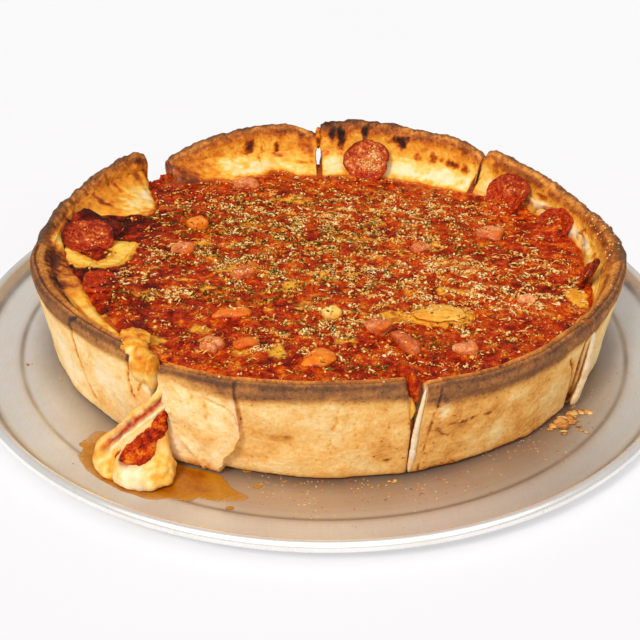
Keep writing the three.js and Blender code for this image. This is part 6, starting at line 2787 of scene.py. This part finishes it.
@dataclass
class Spill:
    """Cheese and sauce that ran out of the cut beside the flap, with its pool of oil.

    Trails and spots on it are placed by millimetres across, from its middle to the right, and height.
    """

    noise: Noise
    # Height, angle of the middle, back and front radius, and reach to the right and left of each row.
    rows: tuple = (
        (1.9, -121.8, 147, 171.5, 17, 17),
        (4, -122.1, 147, 173, 20, 19.5),
        (9, -122.8, 147, 169.4, 20.8, 17.2),
        (14, -123.1, 147, 165, 18.8, 12.4),
        (19, -122.9, 146.5, 160.6, 15.2, 8.6),
        (26, -121.9, 146, 155.8, 10, 5.2),
        (33, -120.4, 144, 153, 5.8, 2.4),
        (39, -119.5, 142, 151.4, 3, 1.4),
        (43, -119.2, 140, 148.6, 1.8, 1.2),
    )
    sides: int = 200
    # Rows between which the sauce lies, and the one that tells the columns in front from those behind.
    sauce_rows: tuple[int, int] = (14, 58)
    front_row: int = 20
    fold: Trail = Trail(((2.0, 39.0), (-3.2, 29.8), (-7.6, 20.5), (-12.6, 12.8), (-19.0, 6.6)), 1.5)
    strip: Trail = Trail(((3.6, 37.0), (-0.1, 27.6), (-4.5, 19.2), (-10.2, 12.6)), 2.7)
    thread: Trail = Trail(((5.7, 33.4), (4.1, 28.0), (1.4, 22.1), (-1.7, 16.9), (-5.4, 12.6)), 0.9)
    crease: Trail = Trail(((-2.6, 13.0), (-3.2, 8.0), (-2.4, 2.0)), 1.5)
    patch: tuple = spots_at(
        (9.8, 24.0, 3.6, 5.5, 1.0), (8.8, 18.5, 6.2, 5.5, 1.0), (6.5, 14.2, 6.5, 4.2, 1.0),
        (3.2, 12.2, 3.8, 3.0, 1.0), (10.5, 15.2, 4.6, 3.6, 1.0), (7.6, 29.5, 1.8, 4.0, 0.8),
    )
    bulges: tuple = spots_at((9.0, 6.0, 10.0, 6.0, 2.4), (-10.5, 5.0, 8.0, 5.5, 1.6))
    lumps: tuple = (
        Lump((-122.7, 148.2, 49.6), (5.8, 5.2, 9.0), roughness=0.3, grain=6.0),
        Lump((-125.2, 145.0, 54.6), (6.4, 5.4, 3.0), roughness=0.9, grain=3.0),
        Lump((-120.9, 147.4, 47.0), (2.6, 4.6, 8.6), roughness=0.4, grain=4.0),
        Lump((-127.6, 139.0, 54.0), (8.0, 6.0, 2.4), roughness=1.1, grain=2.4),
    )
    # Outline of the pool on the pan, and its drops with their half sizes, from the pizza's axis.
    pool: tuple = (
        (-108, -108), (-114, -117), (-112, -121), (-112, -127), (-108, -138), (-102, -147), (-96, -151),
        (-91, -155), (-84, -156), (-76, -159), (-66, -156), (-60, -157), (-55, -155), (-47, -157),
        (-39, -157), (-35, -154), (-41, -149), (-45, -143), (-50, -138), (-62, -134), (-76, -128),
        (-92, -112),
    )
    drops: tuple = (
        (-36.0, -136.0, 2.4, 1.5), (-42.0, -161.0, 1.8, 1.1), (-88.0, -159.5, 1.6, 1.0),
        (-31.0, -147.0, 2.0, 1.2),
    )

    pool_middle: tuple[float, float] = (-76.0, -138.0)
    pool_thickness: float = 0.42
    drop_thickness: float = 0.35
    # Share of the way out, share of the thickness and depth of colour of each ring of a puddle.
    puddle_rings: tuple = (
        (1.0, 0.0, 0.0), (0.985, 0.38, 0.05), (0.95, 0.62, 0.2), (0.85, 0.81, 0.45),
        (0.7, 0.95, 0.7), (0.5, 1.0, 0.8), (0.25, 1.0, 0.8), (0.02, 1.0, 0.8),
    )

    def grid(self) -> tuple[np.ndarray, np.ndarray, np.ndarray, np.ndarray]:
        """Smooth form of the heap.

        Returns:
            Points, outward normals, and millimetres across and height at each, with across FAR behind.
        """
        table = smooth_path(np.array(self.rows, float), [3, 8, 8, 8, 10, 10, 8, 6])
        turn = np.arange(self.sides)[:, None] * 2 * np.pi / self.sides
        height, angle, back, front, right, left = (table[None, :, column] for column in range(6))
        out = (back + front) / 2 + np.cos(turn) * (front - back) / 2
        along = np.sin(turn) * np.where(np.sin(turn) > 0, right, left)
        x, y = turned(out, along, np.radians(angle))
        points = np.stack(np.broadcast_arrays(x, y, height + 0 * turn), axis=-1)
        normals = grid_normals(points, close_columns=True)
        away = (points - points.mean(axis=0))[..., :2]
        outward = np.sign(np.sum(normals[..., :2] * away, axis=-1))[..., None]
        shown = np.where(np.cos(turn) > -0.1, along, FAR)
        return points, normals * outward, shown, height + 0 * turn

    def build_body(self, finish: Finish) -> None:
        """Builds the body of cheese: the sheet's fold, strands, soft bulges and a bubbly foot.

        Args:
            finish: Finish of the cheese.
        """
        points, normals, across, height = self.grid()
        nearest, _, tone = self.noise.cells(points, 5.0)
        bubbles = ramp(0.6, 0.1, nearest) * (tone > 0.3) * ramp(14.0, 8.0, height) * ramp(0.0, 4.0, across)
        folds = self.noise.rough(points, (9.0, 9.0, 14.0), 3)
        fine = self.noise.rough(points, 3.0, 3)
        wander = 0.5 * fine
        fold = self.fold.near(across, height, wander)
        strip = self.strip.near(across, height, wander)
        thread = self.thread.near(across, height, wander)
        crease = self.crease.near(across, height, wander)
        sauce = np.clip(flat_spots(self.patch, across, height, 0.5 * fine), 0, 1)
        swell = flat_spots(self.bulges, across, height, 0.2 * fine)
        front = np.clip(flat_spots(self.bulges[:1], across, height, 0.3 * fine) / 2.4, 0, 1)
        calm = ramp(1.6, 5.0, height)
        out = 1.1 * bubbles + 0.8 * folds + 0.25 * fine + 1.1 * fold + (fine - 0.5) * strip
        out = out + 0.9 * thread - 1.4 * crease
        points = points + normals * ((out + swell) * calm)[..., None]
        bake = 0.17 + 0.14 * folds + 0.18 * fine
        bake = bake + 0.14 * ramp(13.0, 17.0, across) + 0.24 * ramp(4.0, 1.4, height)
        bake = bake + 0.1 * ramp(4.0, 12.0, height) * ramp(15.0, 10.0, height) * ramp(0.0, -4.0, across)
        bake = bake - 0.16 * front * ramp(2.0, 4.5, height) - 0.06 * bubbles + 0.2 * crease
        bake = bake + (0.26 - bake) * fold + (0.04 - bake) * thread
        soak = 0.95 * strip * (1 - fold) + 0.7 * sauce + 0.2 * ramp(3.5, 1.0, height) + 0.03 + 0.08 * fine
        soak = np.clip(soak, 0, 1) * (1 - thread)
        surface = Surface.grid(points, {"bake": bake, "soak": soak}, close_columns=True)
        rows = points.shape[1]
        for row in (0, rows - 1):
            ring = np.arange(self.sides) * rows + row
            surface.close(ring, surface.points[ring].mean(axis=0), {"bake": np.array([0.4])})
        surface.object("spill_cheese_body", finish, ["cheese_spill"])

    def build_sauce(self, finish: Finish) -> None:
        """Builds the coarse sauce that lies on the heap.

        Args:
            finish: Finish of the sauce.
        """
        points, normals, across, height = self.grid()
        front = np.flatnonzero(across[:, self.front_row] < FAR)
        order = front[np.argsort(across[front, self.front_row])]
        shown = slice(*self.sauce_rows)
        blocks = (points, normals, across, height)
        points, normals, across, height = (block[order][:, shown] for block in blocks)
        fine = self.noise.rough(points, 2.4, 3)
        nearest, _, _ = self.noise.cells(points, 2.4)
        wander = 0.5 * self.noise.rough(points, 3.0, 3)
        mask = np.clip(flat_spots(self.patch, across, height, wander), 0, 1)
        mask = mask * (1 - self.thread.near(across, height, wander))
        folds = self.noise.rough(points, (9.0, 9.0, 14.0), 3) + 1.5 * self.fold.near(across, height, wander)
        swell = flat_spots(self.bulges, across, height, 0.2 * fine)
        out = folds + swell - 1.2 + (2.4 + 0.9 * ramp(0.7, 0.1, nearest) + 0.5 * fine) * mask
        closing = np.minimum(np.arange(len(order)), np.arange(len(order))[::-1])[:, None] > 0
        upper = points + normals * out[..., None]
        lower = points + normals * (out - 1.5 * closing)[..., None]
        whole = np.concatenate([upper, lower[:, ::-1]], axis=1)
        rough = self.noise.rough(whole, 4.0, 3)
        paint = {"melt": 0.3 * rough - 0.1, "tone": 0.52 + 0.4 * rough}
        surface = Surface.grid(whole, paint, close_rows=True)
        surface.object("spill_sauce_lump", finish, ["sauce_spill"], weld=POLE_WELD)

    def build_bulge(self, finish: Finish) -> None:
        """Builds the bubbles of cheese over the rim, with a painted highlight on the top bubble.

        Args:
            finish: Finish of the cheese.
        """

        def gold(points: np.ndarray) -> Paint:
            rough = self.noise.rough(points, 4.0, 3)
            # Painted highlight: a pale spot at the top of the bubble.
            pale = ramp(5.5, 2.0, np.linalg.norm(points - polar(-124.4, 151.5, 55.0), axis=-1))
            return {"bake": 0.49 + 0.2 * rough - 0.26 * ramp(51.0, 45.0, points[..., 2]) - 0.34 * pale}

        whole = heap(self.lumps, self.noise, gold)
        whole.object("rim_bubble", finish, ["cheese_bulge"], weld=POLE_WELD)

    def build_pool(self, finish: Finish) -> None:
        """Builds the pool of oil as a thin sheet with a ragged outline, and its drops.

        Args:
            finish: Finish of the oil.
        """
        keys = np.array([*self.pool, self.pool[0]], float)
        outline = smooth_path(keys, [12] * (len(keys) - 1))[:-1]
        whole = self.puddle(outline, np.array(self.pool_middle), self.pool_thickness)
        turn = np.linspace(0, 2 * np.pi, 24, endpoint=False)
        for x, y, half_x, half_y in self.drops:
            middle = np.array([x, y])
            ring = middle + np.stack([half_x * np.cos(turn), half_y * np.sin(turn)], axis=-1)
            whole.add(self.puddle(ring, middle, self.drop_thickness))
        whole.object("oil_pool", finish, weld=0.02)

    def puddle(self, outline: np.ndarray, centre: np.ndarray, thickness: float) -> Surface:
        """Thin sheet of oil on the pan.

        Args:
            outline: Points round it.
            centre: Its middle.
            thickness: Its thickness in the middle.

        Returns:
            The closed surface.
        """
        away = outline - centre
        flat = np.concatenate([outline, np.zeros((len(outline), 1))], axis=1)
        reach = (1 + 0.07 * self.noise.rough(flat, 9.0, 5, 0.6))[:, None, None]
        parts, film, tones = np.array(self.puddle_rings).T
        spread = centre + away[:, None] * parts[None, :, None] * reach
        base = 1.75 + 0.9 * ramp(*PAN_CREASE, np.linalg.norm(spread + PIZZA_CENTRE[:2], axis=-1))
        depth = tones * (0.4 + 0.6 * ramp(-34.0, -66.0, spread[..., 0]))
        upper = np.concatenate([spread, (base + thickness * film)[..., None]], axis=-1)
        lower = np.concatenate([spread[:, ::-1], (base - 0.12)[:, ::-1, None]], axis=-1)
        paint = {"depth": np.concatenate([depth, depth[:, ::-1]], axis=1)}
        points = np.concatenate([upper, lower], axis=1)
        return Surface.grid(points, paint, close_columns=True, close_rows=True)


@dataclass
class Crumbs:
    """Crumbs of crust that lie on the pan."""

    seed: int = 23
    # Crumbs lie outside this radius about the pizza, and inside this one about the pan.
    inner_limit: float = 145.0
    outer_limit: float = 172.0
    # Middle, spread along x and y, number, and smallest and largest size.
    heaps: tuple = (
        ((27, -143), (2.0, 1.0), 5, (1.4, 3.0)),
        ((21, -147), (2.0, 1.5), 6, (0.8, 1.6)),
        ((9, -135), (4.0, 3.0), 5, (0.5, 1.2)),
        ((39, -149), (3.0, 2.0), 6, (0.6, 1.4)),
        ((19, -155), (4.0, 2.0), 5, (0.5, 1.1)),
        ((-10, -147), (6.0, 4.0), 9, (0.4, 1.0)),
        ((111, -97), (7.0, 6.0), 60, (0.6, 2.0)),
        ((106, -101), (3.6, 2.6), 14, (3.0, 6.4)),
        ((111, -96), (4.0, 3.0), 10, (2.4, 5.4)),
        ((118, -90), (4.0, 3.6), 12, (1.4, 4.0)),
        ((20, -150), (60, 7), 40, (0.3, 0.8)),
        ((-151, -53), (1.0, 1.0), 3, (0.8, 1.6)),
        ((-132, -65), (2.0, 2.0), 3, (0.6, 1.2)),
        ((-134, -31), (0.5, 0.5), 1, (0.8, 1.2)),
        ((-149, -29), (1.0, 1.0), 2, (0.5, 1.0)),
    )

    def build(self, finish: Finish) -> None:
        """Builds all crumbs as one mesh.

        Args:
            finish: Finish of the dough.
        """
        source = np.random.default_rng(self.seed)
        ball = blob(9, 6)
        whole = None
        for (x, y), (spread_x, spread_y), number, (small, large) in self.heaps:
            for _ in range(number):
                place = np.array([x + source.normal() * spread_x, y + source.normal() * spread_y])
                size = small + (large - small) * source.random() ** 2
                stretch = size / 2 * (0.7 + 0.6 * source.random(3)) * [1.2, 0.8, 0.4]
                bumps = 1 + 0.25 * source.normal(size=ball.shape[:2])[..., None]
                bumps[:, 0], bumps[:, -1] = 1.0, 1.0
                tone = source.random()
                from_pan = np.linalg.norm(place + PIZZA_CENTRE[:2])
                if np.linalg.norm(place) < self.inner_limit or from_pan > self.outer_limit:
                    continue
                base = 1.6 + ramp(*PAN_CREASE, from_pan)
                points = ball * stretch * bumps + [place[0], place[1], base + stretch[2] * 0.8]
                bake = np.full(points.shape[:2], 0.26 + 0.46 * tone)
                crumb = Surface.grid(points, {"bake": bake, "ash": 0 * bake + 0.25}, close_columns=True)
                whole = crumb if whole is None else whole.add(crumb)
        whole.object("pan_crumbs", finish, weld=0.005)


# ------------------------------------------------------------------ studio


@dataclass(frozen=True)
class DistantLight:
    """Distant soft light.

    Attributes:
        name: Name of the light.
        turn: Angle about the vertical that it comes from, in degrees.
        height: Angle over the table that it comes from.
        strength: Its irradiance.
        spread: Angle across the light, which softens its shadows.
        colour: Its colour.
    """

    name: str
    turn: float
    height: float
    strength: float
    spread: float
    colour: Colour

    def build(self) -> None:
        """Adds the light."""
        data = bpy.data.lights.new(self.name, "SUN")
        data.energy = self.strength
        data.angle = math.radians(self.spread)
        data.color = linear(self.colour)[:3]
        lamp = bpy.data.objects.new(self.name, data)
        lamp.rotation_euler = (math.radians(90.0 - self.height), 0.0, math.radians(self.turn + 90.0))
        bpy.context.scene.collection.objects.link(lamp)


@dataclass
class Studio:
    """Pale floor, soft light and the camera."""

    lens: float = 60.0
    sensor: float = 36.0
    camera_place: tuple[float, float, float] = (-0.0021, -0.4934, 0.2983)
    camera_tilt: float = 59.13
    camera_roll: float = 0.28
    camera_range: tuple[float, float] = (0.01, 50.0)
    floor_half: float = 6.0
    sky: float = 0.3
    sky_colour: Colour = (252, 253, 255)
    lights: tuple[DistantLight, ...] = (
        DistantLight("key_light", -125.0, 48.0, 1.75, 14.0, (255, 250, 242)),
        DistantLight("broad_light", -80.0, 60.0, 1.6, 90.0, (255, 253, 250)),
    )

    def build_camera(self) -> None:
        """Builds the camera."""
        data = bpy.data.cameras.new("camera")
        data.lens = self.lens
        data.sensor_width = self.sensor
        data.clip_start, data.clip_end = self.camera_range
        camera = bpy.data.objects.new("camera", data)
        bpy.context.scene.collection.objects.link(camera)
        tilt = Matrix.Rotation(math.radians(self.camera_tilt), 4, "X")
        roll = Matrix.Rotation(math.radians(self.camera_roll), 4, "Z")
        camera.matrix_world = Matrix.Translation(Vector(self.camera_place)) @ tilt @ roll
        bpy.context.scene.camera = camera

    def build_floor(self) -> None:
        """Builds the floor."""
        half = self.floor_half
        corners = [(-half, -half, 0), (half, -half, 0), (half, half, 0), (-half, half, 0)]
        mesh = bpy.data.meshes.new("studio_floor")
        mesh.from_pydata(corners, [], [(0, 1, 2, 3)])
        mesh.materials.append(StudioFloor().material())
        floor = bpy.data.objects.new("studio_floor", mesh)
        bpy.context.scene.collection.objects.link(floor)

    def build(self) -> None:
        """Builds floor, light and camera."""
        self.build_floor()
        world = bpy.data.worlds.new("studio")
        world.use_nodes = True
        shade = world.node_tree.nodes["Background"]
        shade.inputs["Color"].default_value = linear(self.sky_colour)
        shade.inputs["Strength"].default_value = self.sky
        bpy.context.scene.world = world
        for light in self.lights:
            light.build()
        bpy.context.scene.view_settings.view_transform = "Standard"
        self.build_camera()


def main() -> None:
    """Builds the frame, the pizza and the studio."""
    logging.basicConfig(level=logging.INFO, format="%(message)s")
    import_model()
    noise = Noise(NOISE_SEED)
    sauce_field = SauceField(noise)
    wall = CrustWall(noise, InnerTones(noise))
    dough, cheese, sauce = BakedDough(), MeltedCheese(), TomatoSauce()

    Studio().build()
    ServingPan().build(SpunAluminium(), noise)
    wall.build(dough)
    filling = Filling(noise, sauce_field, wall)
    filling.build_sauce(sauce)
    filling.build_lining(cheese)
    CutFilling(noise).build(sauce, cheese, dough)
    DicedToppings(noise, sauce_field).build()
    Pepperoni(noise).build(FriedPepperoni())
    sprinkles = Sprinkles(sauce_field)
    for rule in GRAIN_RULES:
        sprinkles.build(rule)
    spill = Spill(noise)
    spill.build_body(cheese)
    spill.build_sauce(sauce)
    spill.build_bulge(cheese)
    spill.build_pool(OrangeOil())
    Crumbs().build(dough)


if __name__ == "__main__":
    main()
